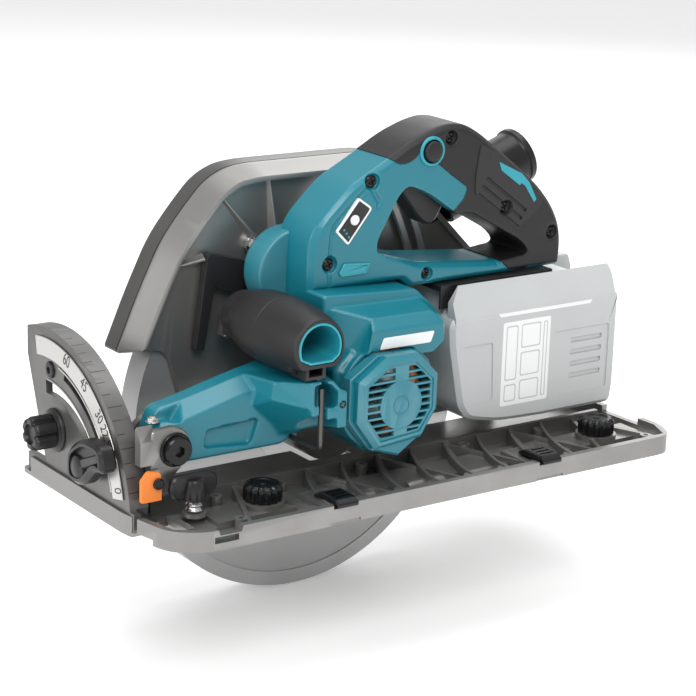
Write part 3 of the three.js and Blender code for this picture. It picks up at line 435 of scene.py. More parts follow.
def combine(made, tools, operation):
    for tool in tools:
        change = made.modifiers.new(operation, "BOOLEAN")
        change.operation = operation
        change.solver = "MANIFOLD"
        change.object = tool
        bpy.context.view_layer.update()
        freeze(made)
        bpy.data.objects.remove(tool)
    return made


def cut(made, *tools):
    return combine(made, tools, "DIFFERENCE")


def join(made, *tools):
    return combine(made, tools, "UNION")


def shared(made, *tools):
    return combine(made, tools, "INTERSECT")


def copy_of(name, *nodes):
    """A new object holding the joined shapes of CAD nodes."""
    parts = []
    for node in nodes:
        part = bpy.data.objects.new(name, NODES[node].data.copy())
        bpy.context.scene.collection.objects.link(part)
        close_up(part)
        parts.append(part)
    return join(*parts)


def soften(made, voxel, passes, strength=0.5):
    """Rounds every edge: the shape is remeshed and smoothed."""
    grid = made.modifiers.new("remesh", "REMESH")
    grid.mode = "VOXEL"
    grid.voxel_size = voxel * MM
    grid.use_smooth_shade = True
    smooth = made.modifiers.new("smooth", "SMOOTH")
    smooth.factor = strength
    smooth.iterations = passes
    bpy.context.view_layer.update()
    return freeze(made)


def smooth_shade(made):
    for face in made.data.polygons:
        face.use_smooth = True


def edges(made, width, segments=2, angle=32, flat_faces=False):
    """Small rounded edges, with either curved or strictly flat faces between them."""
    weld = made.modifiers.new("weld", "WELD")
    weld.merge_threshold = 0.002 * MM
    flat = made.modifiers.new("flat", "DECIMATE")
    flat.decimate_type = "DISSOLVE"
    flat.angle_limit = math.radians(0.7)
    bevel = made.modifiers.new("edges", "BEVEL")
    bevel.width = width * MM
    bevel.segments = segments
    bevel.limit_method = "ANGLE"
    bevel.angle_limit = math.radians(angle)
    bevel.use_clamp_overlap = True
    bevel.harden_normals = flat_faces
    smooth_shade(made)
    if not flat_faces:
        weights = made.modifiers.new("normals", "WEIGHTED_NORMAL")
        weights.weight = 90
    return made


def piece(made, body, look, replaces=()):
    """Gives a finished piece its material, its body and the nodes it stands for."""
    made.data.materials.clear()
    made.data.materials.append(MATERIALS[look])
    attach(made, body)
    if replaces:
        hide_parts(*replaces)
        STOOD_FOR.update(replaces)
    return made


def dress_node(name, width, look=None):
    """Rounded edges and a detailed material on a CAD node that stays as it is."""
    node = NODES[name]
    node.data.materials.clear()
    node.data.materials.append(MATERIALS[look or MATERIAL_OF_NODE[name]])
    if width:
        edges(node, width)


def screw_head(name, axis, centre, face, radius, facing=-1, body="saw_head", look="black_steel"):
    """A round head with a cross recess, whose outer face lies at `face` along an axis."""
    depth = 2.2
    back = face - facing * depth
    low, high = (face, back) if face < back else (back, face)
    rim = [(0, back), (radius, back), (radius, face - facing * 0.9), (radius * 0.72, face),
           (0, face)]
    if facing < 0:
        rim = rim[::-1]
    head = lathe(name, axis, centre, rim, 28)
    plane = {"x": "yz", "y": "xz", "z": "xy"}[axis]
    for turn in (0.4, 0.4 + math.pi / 2):
        along = Vector((math.cos(turn), math.sin(turn))) * radius * 0.6
        across = Vector((-along.y, along.x)).normalized() * radius * 0.13
        mid = Vector(centre)
        corners = [mid + along + across, mid - along + across, mid - along - across,
                   mid + along - across]
        ends = sorted((face + facing * 1.0, face - facing * 1.2))
        head = cut(head, slab("tool", plane, [tuple(c) for c in corners], *ends))
    smooth_shade(head)
    edges(head, 0.15, 1)
    return piece(head, body, look)


# ------------------------------------------------------------------ motor housing
def motor_housing():
    barrel = disc("motor_housing_shell", "y", MOTOR, 38.6, -65.5, 7.5, 64)
    upper = slab("tool", "xz", [(-62, 104), (-62, 141, 2), (16, 136.5, 4), (34, 120.5, 4),
                                (28, 104, 3), (8, 92, 3), (-48, 92)], -45, 26, 1.2)
    left = slab("tool", "xz", [(-62, 60), (-62, 92, 2), (-48, 104), (-30, 104), (-30, 60)],
                -60, -10, 2.0)
    drum = disc("tool", "y", (-44, 134), 18, -20, 25.8, 48)
    block = loft("tool", [
        [(x, -44.0, z) for x, z in ((-61, 96), (-61, 133), (18, 131), (33.5, 120), (28, 103),
                                    (-16, 92))],
        [(x, -61.5, z) for x, z in ((-44, 101), (-35, 125.5), (17, 125), (28.5, 117), (25, 102),
                                    (-28, 97))],
        [(x, -69.3, z) for x, z in ((-41.7, 103), (-38.5, 119), (21.5, 118), (22.5, 104.5),
                                    (13, 97.2), (-29, 97.6))],
    ])
    flank = slab("tool", "xz", [(-59, 92), (-38, 104), (2, 104), (17, 90, 2), (20.5, 80, 3),
                                (20.5, 52, 3), (8, 37, 3), (-4, 32.2, 3), (-38, 32.2, 3),
                                (-60, 60, 3)], -62.5, -20, 2.4)
    body = join(barrel, upper, left, drum, block, flank)
    body = cut(body, disc("tool", "y", MOTOR, 34.5, -80, -30, 64))
    rim = offset([(-60, 60), (-60, 90), (-38, 104), (-5, 103), (11, 87), (11, 60), (-2, 43),
                  (-21, 31), (-43, 38)], -0.8)
    body = cut(body, slab("tool", "xz", rim, -90, -66.0))
    body = cut(body, slab("tool", "xz", [(-61, 142.6), (-61, 140.6), (15.5, 136.0),
                                         (33, 120.0), (36, 121), (17, 141)], -46, -43.2))
    soften(body, 1.0, 3)
    piece(body, "saw_head", "teal", ["motor_housing"])
    bar = slab("motor_name_bar", "xz", [(-32, 105.4, 1.6), (-29, 113.4, 1.6), (14, 113.0, 1.6),
                                        (11, 105.0, 1.6)], -69.75, -68.6, 0.3)
    edges(bar, 0.2, 1)
    return piece(bar, "saw_head", "white_plastic")


def vent_cover():
    face = [(-34, 103.5), (-8.5, 103.3), (9.5, 86.0), (9.6, 61.5), (-3.0, 42.5), (-41.5, 39.2),
            (-57.0, 60.5), (-56.5, 88.5)]
    foot = [(-38, 103.7), (-5, 102.8), (10.8, 86.8), (10.8, 60.2), (-2.2, 43.3), (-21, 31.4),
            (-43, 38.4), (-59.8, 60.2), (-59.8, 89.8)]
    cover = slab("vent_cover_shell", "xz", foot, -75.5, -66.6, 0.6)
    cover = join(cover, slab("tool", "xz", face, -83.6, -70, 3.2))
    cover = join(cover, slab("tool", "xz", [(-43, 38.6), (-21, 31.4), (-3, 43.0), (-8, 47),
                                            (-38, 45)], -80.5, -70, 1.6))
    cover = cut(cover, slab("tool", "xz", offset(face, 5.4), -84.5, -82.5))
    cover = cut(cover, disc("tool", "y", MOTOR, 32.5, -79.5, -60, 48))
    inner = offset(face, 7.2)
    low = min(z for _, z in inner)
    high = max(z for _, z in inner)
    slots = 10
    pitch = (high - low) / slots
    for i in range(slots):
        z = low + (i + 0.5) * pitch
        bar = slab("tool", "xz", inner, -90, -72)
        strip = box("strip", (-70, 20), (-91, -71), (z - 1.75, z + 1.75))
        bar = shared(bar, strip)
        if 0 < i < slots - 1:
            bar = cut(bar, disc("tool", "y", (-22, 69), 17.2, -92, -70, 48))
        else:
            bar = cut(bar, box("tool", (-27.5, -16.5), (-92, -70), (z - 3, z + 3)))
        if i in (1, slots - 2):
            bar = cut(bar, box("tool", (-27.5, -16.5), (-92, -70), (z - 3, z + 3)))
        cover = cut(cover, bar)
    edges(cover, 0.45, 2, flat_faces=True)
    piece(cover, "saw_head", "teal", ["vent_cover"])
    ring = lathe("vent_ring", "y", (-21.5, 68.2), [
        (5.4, -82.3), (6.9, -82.3), (6.8, -83.0), (6.2, -83.3), (5.6, -83.0)], 48)
    smooth_shade(ring)
    return piece(ring, "saw_head", "teal")


# ------------------------------------------------------------------ rear handle and neck
HANDLE = [(-62.5, 137.5), (-62.2, 160, 8), (-60.5, 176, 6), (-54.5, 187, 6), (-31, 209, 8),
          (3, 226.5, 20), (21, 236.5, 12), (42, 243.8, 14), (56, 246, 12), (68, 244, 12),
          (81, 237, 10), (99, 223.5, 8), (117, 210, 8), (137, 194, 12), (151, 178, 12),
          (159, 163, 10), (161.3, 148, 8), (160, 132.2, 3), (110, 131.8), (24, 131.8),
          (16.5, 137.8)]
FINGERS = [(-6, 161, 3), (-5.5, 169, 4), (12, 199.5, 8), (19, 205, 6), (36, 198.5, 10),
           (57, 184, 5), (63, 180.2, 4), (74, 181.5, 6), (122, 155, 12), (131, 144.5, 8),
           (104, 141.8, 6), (32, 149.3, 3)]
RUBBER = [(-30, 228), (-12, 221.5), (-2, 228.5), (6.5, 223.6), (9, 221.8), (17, 221.4),
          (24.5, 225), (27.5, 230), (30.5, 235.6), (37.5, 238.6), (44, 236), (47.8, 230),
          (46.5, 223.2), (42.5, 219.6), (55.7, 209.7), (69.5, 200.2), (70.2, 197.5),
          (67.5, 191.0), (60.5, 184.8), (57, 180), (80, 160), (100, 146), (106.5, 139.6), (113, 133.9),
          (128.5, 133.4), (130, 135.6), (151.5, 135.0), (170, 134.5), (190, 134),
          (190, 262), (-30, 262)]


def handle():
    near, far, split = -28.0, 18.0, -5.0
    whole = slab("handle_teal", "xz", HANDLE, near + 0.4, far - 0.4, 4.0)
    fingers = slab("tool", "xz", FINGERS, near - 5, far + 5)
    whole = cut(whole, fingers)
    whole = cut(whole, slab("tool", "xz", [(6, 207), (6, 222), (58, 219), (69, 204),
                                           (66, 180.5), (70, 150), (24, 150),
                                           (24, 205)], split - 10.5, split + 10.5))
    facet = []
    for z, x in ((125, -58.5), (137, -58.5), (160, -57.0), (176, -54.5), (184, -51.0),
                 (204, -35.0), (217, -19.5), (227, 1.0), (236, 18.0)):
        facet.append([(x + 0.6, near - 0.4, z), (x - 16, near - 0.4, z), (x - 16, near + 14.5, z)])
    whole = cut(whole, loft("tool", facet))
    # The bright slope along the near top edge of the lower beam.
    slope = [[(x, near - 1, z + 2.0), (x, near + 9, z + 2.0), (x, near - 1, z - drop)]
             for x, z, drop in ((-4.5, 160.5, -1), (4, 158, 3.0), (32, 149.3, 5.5),
                                (104, 141.6, 5.0))]
    whole = cut(whole, loft("tool", slope))
    # The groove beside the facet, and the notch by the panel.
    groove = [(-45.5, 130), (-47.5, 156), (-46.0, 177), (-43.5, 185), (-15.0, 209.8),
              (-13.2, 208.2), (-41.4, 183.6), (-43.6, 176), (-44.6, 156), (-42.5, 130)]
    whole = cut(whole, slab("tool", "xz", groove, near - 2, near + 2.2))
    notch = [(-13.5, 205.2), (-11.0, 206.8), (-4.0, 196.6), (-6.0, 192.2), (-8.6, 192.8),
             (-7.4, 196.0)]
    whole = cut(whole, slab("tool", "xz", notch, near - 2, near + 2.4))
    for x, z, r in SCREW_WELLS:
        whole = cut(whole, disc("tool", "y", (x, z), r, near - 3, near + 4.2, 28))
    whole = cut(whole, disc("tool", "y", (37.5, 228), 8.6, near - 3, near + 17, 36))
    soften(whole, 1.0, 4)
    rubber = whole.copy()
    rubber.data = whole.data.copy()
    rubber.name = "handle_overmould"
    bpy.context.scene.collection.objects.link(rubber)
    region = rounded([(x, z, 4) for x, z in RUBBER], 3)
    rubber = shared(rubber, slab("tool", "xz", region, near - 3, far + 3))
    seat = slab("tool", "xz", offset(region, -0.25), near - 3, far + 3)
    shrink = whole.modifiers.new("seat", "DISPLACE")
    shrink.strength = -0.5 * MM
    shrink.mid_level = 0
    freeze(whole)
    whole = cut(whole, seat)
    smooth_shade(whole)
    smooth_shade(rubber)
    piece(whole, "saw_head", "teal", ["handle_near_shell", "handle_far_shell"])
    piece(rubber, "saw_head", "rubber")
    return whole, rubber


SCREW_WELLS = [(54.5, 236.0, 5.2), (-11.7, 210.9, 5.6), (105.5, 181.5, 5.2), (150.0, 158.5, 5.0),
               (37.9, 140.3, 4.6), (-45.5, 156.5, 5.6)]


def handle_details():
    for i, (x, z, r) in enumerate(SCREW_WELLS):
        screw_head(f"handle_screw_{i}", "y", (x, z), -25.4, r - 1.1)
    # Textured grip inserts with fluted lines, on both sides.
    insert = [(76.5, 206, 2), (76.8, 194, 2), (88, 188.5, 2), (118.8, 165.8, 2), (131, 173.8, 3),
              (141, 183.5, 5), (119, 203, 3), (93, 222.5, 4), (80, 229.5, 3)]
    for side, low, high in (("near", -28.6, -26.9), ("far", 16.9, 18.4)):
        patch = slab(f"grip_texture_{side}", "xz", insert, low, high, 0.5)
        for k in range(3):
            shift = 6.6 * k
            line = [(78 + shift * 0.55, 193.0 + shift * 0.82), (79.8 + shift * 0.55,
                    194.8 + shift * 0.82), (117.0 + shift * 0.55, 167.4 + shift * 0.82),
                    (115.6 + shift * 0.55, 165.4 + shift * 0.82)]
            patch = cut(patch, slab("tool", "xz", line, low - 1, high + 1))
        if side == "near":
            patch = cut(patch, disc("tool", "y", (105.5, 181.5), 5.6, low - 1, high + 1, 28))
        edges(patch, 0.25, 1)
        piece(patch, "saw_head", "rubber_grain")
    stripe = [(96.5, 215.5, 0.6), (99, 209, 0.8), (116.5, 196.6, 0.5), (117.8, 198.2, 0.3),
              (121.5, 195.6, 0.5), (130.5, 182.8, 0.5), (132.5, 185.0, 0.8), (125.5, 197.5, 1.5),
              (118, 205, 1)]
    trim_and_highlight_strip = slab("grip_stripe", "xz", stripe, -28.9, -27.2)
    edges(trim_and_highlight_strip, 0.2, 1, flat_faces=True)
    piece(trim_and_highlight_strip, "saw_head", "teal_light")
    ring = lathe("lock_button_ring", "y", (37.5, 228), [
        (8.3, -27.0), (8.3, -28.4), (8.9, -28.8), (10.2, -28.5), (10.6, -27.8), (10.6, -27.0)],
        48)
    smooth_shade(ring)
    piece(ring, "saw_head", "teal_light")
    button = lathe("lock_button_cap", "y", (37.5, 228), [
        (0, -18.4), (7.5, -18.4), (7.5, -29.6), (7.0, -30.6), (5.8, -31.2), (3.0, -31.45),
        (0, -31.5)], 40)
    smooth_shade(button)
    edges(button, 0.3)
    piece(button, "lock_off_button", "rubber", ["lock_off_button"])
    # The display panel: a white border, a dark window and a round pale button.
    label = [(-23.7, 201.4, 1.5), (-12.0, 193.2, 3), (-31.7, 168.9, 2), (-42.3, 179.6, 2)]
    border = slab("panel_border", "xz", label, -28.3, -25.2, 0.3)
    inner = [(x, z, max(0.4, radius - 1.5))
             for (x, z), (_, _, radius) in zip(offset(label, 1.5), label)]
    border = cut(border, slab("tool", "xz", inner, -29, -27.9))
    border = cut(border, disc("tool", "y", (-26.6, 186.2), 4.0, -30, -20, 32))
    edges(border, 0.2, 1)
    piece(border, "saw_head", "white_plastic")
    window = slab("panel_window", "xz", inner, -28.15, -27.6)
    window = cut(window, disc("tool", "y", (-26.6, 186.2), 4.0, -30, -20, 32))
    piece(window, "saw_head", "black_plastic", ["control_panel"])
    push = lathe("panel_button_cap", "y", (-26.6, 186.2), [
        (0, -25.3), (3.6, -25.3), (3.6, -28.3), (3.1, -28.6), (0, -28.6)], 32)
    smooth_shade(push)
    edges(push, 0.2)
    piece(push, "panel_button", "white_plastic", ["panel_button"])
    for i, (x, z) in enumerate(((-35.4, 180.2), (-33.4, 177.5), (-31.4, 174.8))):
        dot = disc(f"panel_lamp_{i}", "y", (x, z), 0.8, -28.35, -28.0, 16)
        piece(dot, "saw_head", "teal_light")
    badge = [(-38.5, 149.8, 1), (-34.5, 156.6, 1.5), (-12.5, 154.6, 1.5), (-15.8, 147.6, 1.5),
             (-36.5, 147.2, 1)]
    plate = slab("neck_badge", "xz", badge, -28.7, -27.0, 0.4)
    plate = cut(plate, slab("tool", "xz", offset(rounded(badge), 1.2), -30, -28.3))
    piece(plate, "saw_head", "teal_light")


# ------------------------------------------------------------------ front arm and grip
def front_arm():
    side = [(-188, 43.5, 5), (-182, 40.8, 4), (-160, 40.3, 4), (-92, 40.3), (-64.4, 52),
            (-64.4, 99.8), (-117, 89.8, 6), (-168, 77.8, 6), (-182, 75.8, 6), (-189, 60, 8)]
    body = slab("front_arm_shell", "xz", side, -41.8, -14.2, 0.8)
    slope = loft("tool", [[(x, y, z + (x + 180) * 0.25) for y, z in
                           ((-60, 58), (-42, 66.5), (-20, 79), (-10, 84), (-10, 160),
                            (-60, 160))] for x in (-230, -60)])
    body = cut(body, slope)
    body = cut(body, slab("tool", "xz", [(-153, 47.5, 3), (-116, 44.5, 3), (-110, 62, 4),
                                         (-151, 60, 3)], -50, -37.5))
    body = cut(body, disc("tool", "y", (PIVOT[0], PIVOT[1]), 6.4, -60, 0, 32))
    block = loft("tool", [
        [(x, -20.0, z) for x, z in ((-116, 90), (-120, 62), (-104, 41), (-64.5, 44),
                                    (-64.5, 84), (-64.5, 95), (-92, 95))],
        [(x, -60.0, z) for x, z in ((-110, 92), (-112.5, 80), (-86, 55.5), (-64.5, 55.5),
                                    (-64.5, 84), (-68, 90), (-78, 94.5))],
        [(x, -79.6, z) for x, z in ((-93.5, 94), (-94.5, 76), (-84, 59.5), (-64.6, 59.3),
                                    (-64.6, 84), (-70, 86.2), (-76.5, 93))],
    ])
    body = join(body, block)
    body = cut(body, slab("tool", "xz", [(-90.6, 40), (-90.6, 91.5), (-78.6, 91.3),
                                         (-72, 85), (-72.0, 62), (-74, 36)], -90, -56))
    body = join(body, box("tool", (-93, -86.2), (-79, -73), (70, 77)),
                box("tool", (-79.8, -71), (-79, -73), (66, 74)))
    body = cut(body, box("tool", (-85.4, -80.6), (-90, -71), (30, 100)))
    body = cut(body, disc("tool", "y", (-83, 44), 2.7, -90, -20, 20))
    body = cut(body, disc("tool", "y", (GRIP[0], GRIP[1]), 25.4, -68, 40, 48))
    body = cut(body, disc("tool", "y", MOTOR, 39.4, -62, 40, 64))
    # Room for the bracket's nut when the saw is lifted.
    body = cut(body, slab("tool", "xz", sector(PIVOT, 15.2, 28, 56, 150, 24), -41, -28.6))
    soften(body, 1.1, 3)
    piece(body, "saw_head", "teal", ["front_arm"])
    screw_head("holder_screw", "y", (-68.3, 75.5), -79.9, 3.4)


def grip_section(radius, low, steps=20):
    points = []
    for k in range(steps + 1):
        turn = math.radians(-24 + 228 * k / steps)
        points.append((GRIP[0] + radius * math.cos(turn), GRIP[1] + radius * math.sin(turn)))
    points.append((GRIP[0] - radius * 0.45, GRIP[1] - low))
    points.append((GRIP[0] + radius * 0.6, GRIP[1] - low))
    return points


def front_grip():
    profile = [(0, -81.8), (18.2, -81.8), (19.4, -81.0), (20.2, -79.0), (22.3, -70.0),
               (23.8, -60.0), (24.8, -48.0), (24.95, -38.0), (24.3, -37.4), (24.95, -36.8),
               (24.9, -28.0), (24.2, -16.0), (22.5, -6.0), (20.2, 1.4), (0, 1.6)]
    sleeve = lathe("front_grip_sleeve", "y", GRIP, profile, 72)
    sleeve = cut(sleeve, box("tool", (-130, -50), (-84, -69), (78, 104.3)))
    sleeve = cut(sleeve, slab("tool", "xz", grip_section(17.4, 11.4), -90, 30))
    sleeve = cut(sleeve, box("tool", (-62.4, 0), (-100, 40), (60, 180)))
    sleeve = join(sleeve, box("tool", (-98.5, -95.8), (-79, -54), (95.8, 106)),
                  box("tool", (-85.2, -82.5), (-79, -54), (95.8, 106)),
                  box("tool", (-98.5, -82.5), (-79, -54), (95.8, 98)))
    edges(sleeve, 0.5, 2, 40)
    piece(sleeve, "saw_head", "rubber", ["front_grip"])
    core = slab("grip_liner", "xz", grip_section(17.1, 11.1), -81.9, 1.2, 0.5)
    core = cut(core, slab("tool", "xz", grip_section(15.3, 9.3), -90, -4))
    foot = slab("grip_foot", "xz", [(-104, 104.5, 3), (-76, 104.5), (-62.6, 108.5), (-62.6, 131.5),
                               (-76, 129.5), (-104, 127.5, 4)], 4.2, 15.8)
    foot = join(foot, slab("tool", "xz", grip_section(17.1, 11.1), 1.7, 15.8, 0.8))
    edges(core, 0.4)
    piece(core, "saw_head", "teal_light", ["grip_core"])
    edges(foot, 0.6)
    piece(foot, "saw_head", "black_plastic")
    wrench = tube("hex_wrench_bar", [(-83, -75.4, 87.6), (-83, -75.4, 60), (-83, -75.4, 50),
                                     (-83, -75.0, 47), (-83, -73.6, 45), (-83, -71, 44),
                                     (-83, -66, 44), (-83, -40, 44), (-83, -24.4, 44)],
                  1.95, 6)
    edges(wrench, 0.25, 2, 40)
    piece(wrench, "hex_wrench", "dark_steel", ["hex_wrench"])


# ------------------------------------------------------------------ upper guard
GUARD = [(-163, 88), (-146, 128), (-128, 164), (-111, 185), (-94, 203), (-78, 211), (-60, 213),
         (55, 212), (85, 186), (112, 160), (150, 122), (142, 88), (133, 58), (129.5, 36),
         (110, 18), (-112, 18), (-126, 60), (-134, 86)]


GUARD_RADII = (3, 26, 26, 16, 14, 10, 22, 40, 30, 30, 20, 14, 10, 8, 6, 3, 8, 8)
HOLLOW_CORNER = 17                  # the outline's one inward corner, at the front mouth


def guard_line(inset):
    """The guard's rounded outline, moved inwards corner by corner."""
    corners = []
    for i, ((x, z), radius) in enumerate(zip(offset(GUARD, inset), GUARD_RADII)):
        change = inset if i == HOLLOW_CORNER else -inset
        corners.append((x, z, max(0.8, radius + change)))
    return rounded(corners, 6)


def guard_hollow(shell):
    """Cuts the blade's room, the openings and the gear case seat out of a guard casting."""
    recess = [(x, z, max(0.8, r - 9.4))
              for (x, z), r in zip(offset(GUARD, 9.4)[1:14], GUARD_RADII[1:14])]
    recess = rounded(recess + [(104, 14), (-115.5, 14), (-129.5, 59), (-134.5, 77),
                               (-157.4, 77)], 6)
    shell = cut(shell, slab("tool", "xz", recess, 30, 45.2))
    shell = cut(shell, loft("tool", [[(x, y, z) for x, z in guard_line(inset)] for inset, y in
                                     ((6.4, 48.2), (3.6, 57.4), (3.4, 60), (3.4, 77))]))
    mouth = [(-150, -20), (-150, 92), (-120, 92), (-108, 24), (-100, 22), (100, 22), (118, 36),
             (190, 36), (190, -20)]
    shell = cut(shell, slab("tool", "xz", mouth, 48.2, 85))
    shell = cut(shell, slab("tool", "xz", [(-190, 0), (190, 0), (190, 60), (118, 46),
                                           (-126, 46), (-190, 85)], 76.6, 85))
    shell = cut(shell, disc("tool", "y", ARBOR, 30.8, 30, 45.2, 64))
    shell = cut(shell, disc("tool", "y", ARBOR, 22.3, 30, 52, 48))
    shell = cut(shell, slab("tool", "xz", sector(ARBOR, 60, 74, -6, 112), 30, 49.2))
    return cut(shell, nozzle_bar("tool", [(0, -4), (17.2, -4), (17.2, 80), (0, 80)]))


def upper_guard():
    def level(inset, y):
        return [(x, y, z) for x, z in guard_line(inset)]

    # The near casting slopes in from the seam to the rim of its hollow face.
    near = loft("guard_near_casting", [level(8.0, 38.8), level(6.2, 39.6), level(0.9, 57.4),
                                       level(0.2, 59.2), level(0.2, 60.2)])
    window = slab("tool", "xz", [(-175, 84), (-128, 84), (-60, 150), (26, 150), (26, 225),
                                 (-175, 225)], 20, 43)
    low_side = cut(slab("tool", "xz", [(-200, -30), (200, -30), (200, 240), (-200, 240)],
                        20, 43), window)
    near = guard_hollow(cut(near, low_side))
    edges(near, 0.45, 2, 40)
    # The near casting takes the lighter copy of the guard metal, painted light on its near face.
    piece(near, "saw_head", "guard_near", ["upper_guard"])
    lip = loft("guard_seam_lip", [level(1.6, 60.0), level(1.6, 60.8), level(0.5, 60.8),
                                  level(0.5, 61.6), level(1.6, 61.6), level(1.6, 62.2)])
    lip = guard_hollow(lip)
    piece(lip, "saw_head", "dark_casting")
    far = loft("guard_far_casting", [level(0.2, 62.0), level(0.2, 77.4), level(1.0, 79.2),
                                     level(2.6, 80.0)])
    far = guard_hollow(far)
    edges(far, 0.45, 2, 40)
    # The far casting takes the darker copy of the guard metal, painted shade on the guard's outer
    # side.
    piece(far, "saw_head", "dark_casting")

    for i, (a, b, tall) in enumerate((((-127, 148.5), (-103, 153), 38.4),
                                      ((-90, 196), (-60, 160), 38.4),
                                      ((-50, 205), (-46, 158), 36.0))):
        way = (Vector(b) - Vector(a)).normalized()
        side = Vector((-way.y, way.x))
        profile = [(a, 0.9, 43.5), (b, 2.0, tall)]
        sections = []
        for point, half, top in profile:
            p = Vector(point)
            sections.append([(*(p + side * half * 1.6), 45.6), (*(p + side * half * 0.5), top),
                             (*(p - side * half * 0.5), top), (*(p - side * half * 1.6), 45.6)])
        web = loft(f"guard_web_{i}", [[(x, y, z) for x, z, y in line_points]
                                      for line_points in sections])
        edges(web, 0.25, 1)
        # The webs take the same lighter copy of the guard metal as the near face: painted light.
        piece(web, "saw_head", "guard_near")
    bolt = disc("guard_bolt", "y", (-63, 158), 5.4, 37.2, 45.4, 6)
    bolt = join(bolt, disc("tool", "y", (-63, 158), 7.4, 40.4, 45.4, 32))
    edges(bolt, 0.4, 2)
    piece(bolt, "saw_head", "steel")
    drum = lathe("neck_drum", "y", (-53, 146), [(0, 2), (28.5, 2), (30.5, 4), (30.5, 21),
                                                (29.5, 24), (27, 25.5), (0, 25.5)][::-1], 64)
    edges(drum, 0.4, 2, 50)
    piece(drum, "saw_head", "teal")


NOZZLE = {"x": 96, "y": 61, "z": 163, "tilt": 20, "length": 98}


def lower_guard():
    """The swinging cover, whose front edge reaches up inside the upper guard."""
    start, end = 141, 352
    rim = slab("lower_guard_shell", "xz", sector(ARBOR, 137, 138.7, start, end, 110), 49, 70.9)
    side = slab("tool", "xz", sector(ARBOR, 24, 138.2, start, end, 110), 49, 50.9)
    far = slab("tool", "xz", sector(ARBOR, 96, 138.2, start, end, 110), 69.4, 70.9)
    hub = disc("tool", "y", ARBOR, 29, 49, 53, 56)
    spoke = slab("tool", "xz", sector(ARBOR, 24, 72, -8, 16, 12), 49, 51)
    stud = slab("tool", "xz", sector(ARBOR, 62.5, 71, -2, 9, 8), 44, 51)
    body = join(rim, side, far, hub, spoke, stud)
    body = cut(body, disc("tool", "y", ARBOR, 22.3, 40, 60, 56))
    pressed = slab("tool", "xz", sector(ARBOR, 44, 128, 186, 340, 90), 48, 49.7)
    body = cut(body, pressed)
    edges(body, 0.5, 2, 40)
    piece(body, "lower_guard", "plate", ["lower_guard"])


def nozzle_bar(name, profile, segments=48):
    """A turned solid along the dust nozzle's axis, from (radius, distance) points."""
    bar = lathe(name, "z", (0, 0), profile, segments)
    tilt = math.radians(NOZZLE["tilt"])
    along = Vector((math.cos(tilt), 0, math.sin(tilt)))
    across = Vector((0, 1, 0))
    turn = Matrix((across.cross(along), across, along)).transposed().to_4x4()
    start = Vector((NOZZLE["x"], NOZZLE["y"], NOZZLE["z"])) * MM
    bar.data.transform(Matrix.Translation(start) @ turn)
    return bar


# ------------------------------------------------------------------ bevel quadrant
FACE_X = -214.35


def on_dial(radius, degrees):
    """(y, z) on the quadrant, with degrees counted up from the near side of the base."""
    turn = math.radians(180 - degrees)
    return TILT_Y + radius * math.cos(turn), radius * math.sin(turn)


def dial_number(label, degrees):
    text = bpy.data.curves.new("dial_number_" + label.replace(".", "_"), "FONT")
    text.body = label
    text.size = 12.5 * MM
    text.extrude = 0.06 * MM
    text.align_x = "CENTER"
    text.align_y = "CENTER"
    curve = bpy.data.objects.new("number", text)
    bpy.context.scene.collection.objects.link(curve)
    bpy.context.view_layer.update()
    view = bpy.context.evaluated_depsgraph_get()
    mesh = bpy.data.meshes.new_from_object(curve.evaluated_get(view))
    bpy.data.objects.remove(curve)
    made = bpy.data.objects.new("dial_number_" + label.replace(".", "_"), mesh)
    bpy.context.scene.collection.objects.link(made)
    turn = math.radians(degrees)
    across = Vector((0, -math.sin(turn), -math.cos(turn)))
    upward = Vector((0, -math.cos(turn), math.sin(turn)))
    y, z = on_dial(100.5, degrees)
    move = Matrix((across * 0.72, upward, Vector((-1, 0, 0)))).transposed().to_4x4()
    mesh.transform(Matrix.Translation(Vector((FACE_X, y, z)) * MM) @ move)
    close_up(made)
    piece(made, "base", "ink")


def dial():
    for label, degrees in (("60", 74.5), ("45", 59.5), ("30", 44.5), ("22.5", 36.5),
                           ("15", 28.5), ("0", 15.5)):
        dial_number(label, degrees)
    marks = []
    for i in range(14):
        degrees = 14.5 + i * 5
        depth = 11 if i % 3 == 0 else 6
        turn = math.radians(180 - degrees)
        line = []
        for x in (-212.4, -212.4 + depth):
            line.append([(x, TILT_Y + r * math.cos(t), r * math.sin(t))
                         for r, t in ((111.4, turn - 0.003), (112.0, turn - 0.003),
                                      (112.0, turn + 0.003), (111.4, turn + 0.003))])
        marks.append(loft("dial_mark", line))
    lines = join(marks[0], *marks[1:])
    lines.name = "dial_marks"
    piece(lines, "base", "ink")
    bead = slab("dial_bead", "yz", sector((TILT_Y, 0), 89.0, 90.4, 99, 165.5, 60),
                -213.9, -212.9, 0.3)
    edges(bead, 0.2, 1)
    piece(bead, "base", "bright")
    slot_bead = slab("dial_slot_bead", "yz", sector((TILT_Y, 0), 75.9, 76.9, 88, 154, 60),
                     -213.7, -212.9, 0.3)
    edges(slot_bead, 0.2, 1)
    piece(slot_bead, "base", "bright")
    dome = lathe("quadrant_screw", "x", (60, 84), [
        (0, -212.9), (6.0, -212.9), (6.0, -213.9), (5.4, -214.5), (4.0, -214.7), (0, -214.75)],
        32)
    dome = cut(dome, disc("tool", "x", (60, 84), 2.6, -219, -213.6, 6))
    edges(dome, 0.15, 1)
    piece(dome, "base", "black_steel")
    flange = lathe("stop_knob_collar", "x", (53.5, 43), [
        (8.2, -213.0), (15.2, -213.0), (15.2, -214.6), (14.0, -215.6), (12.6, -215.8),
        (12.2, -216.8), (8.2, -216.8)], 48)
    edges(flange, 0.2, 1)
    piece(flange, "base", "black_plastic")


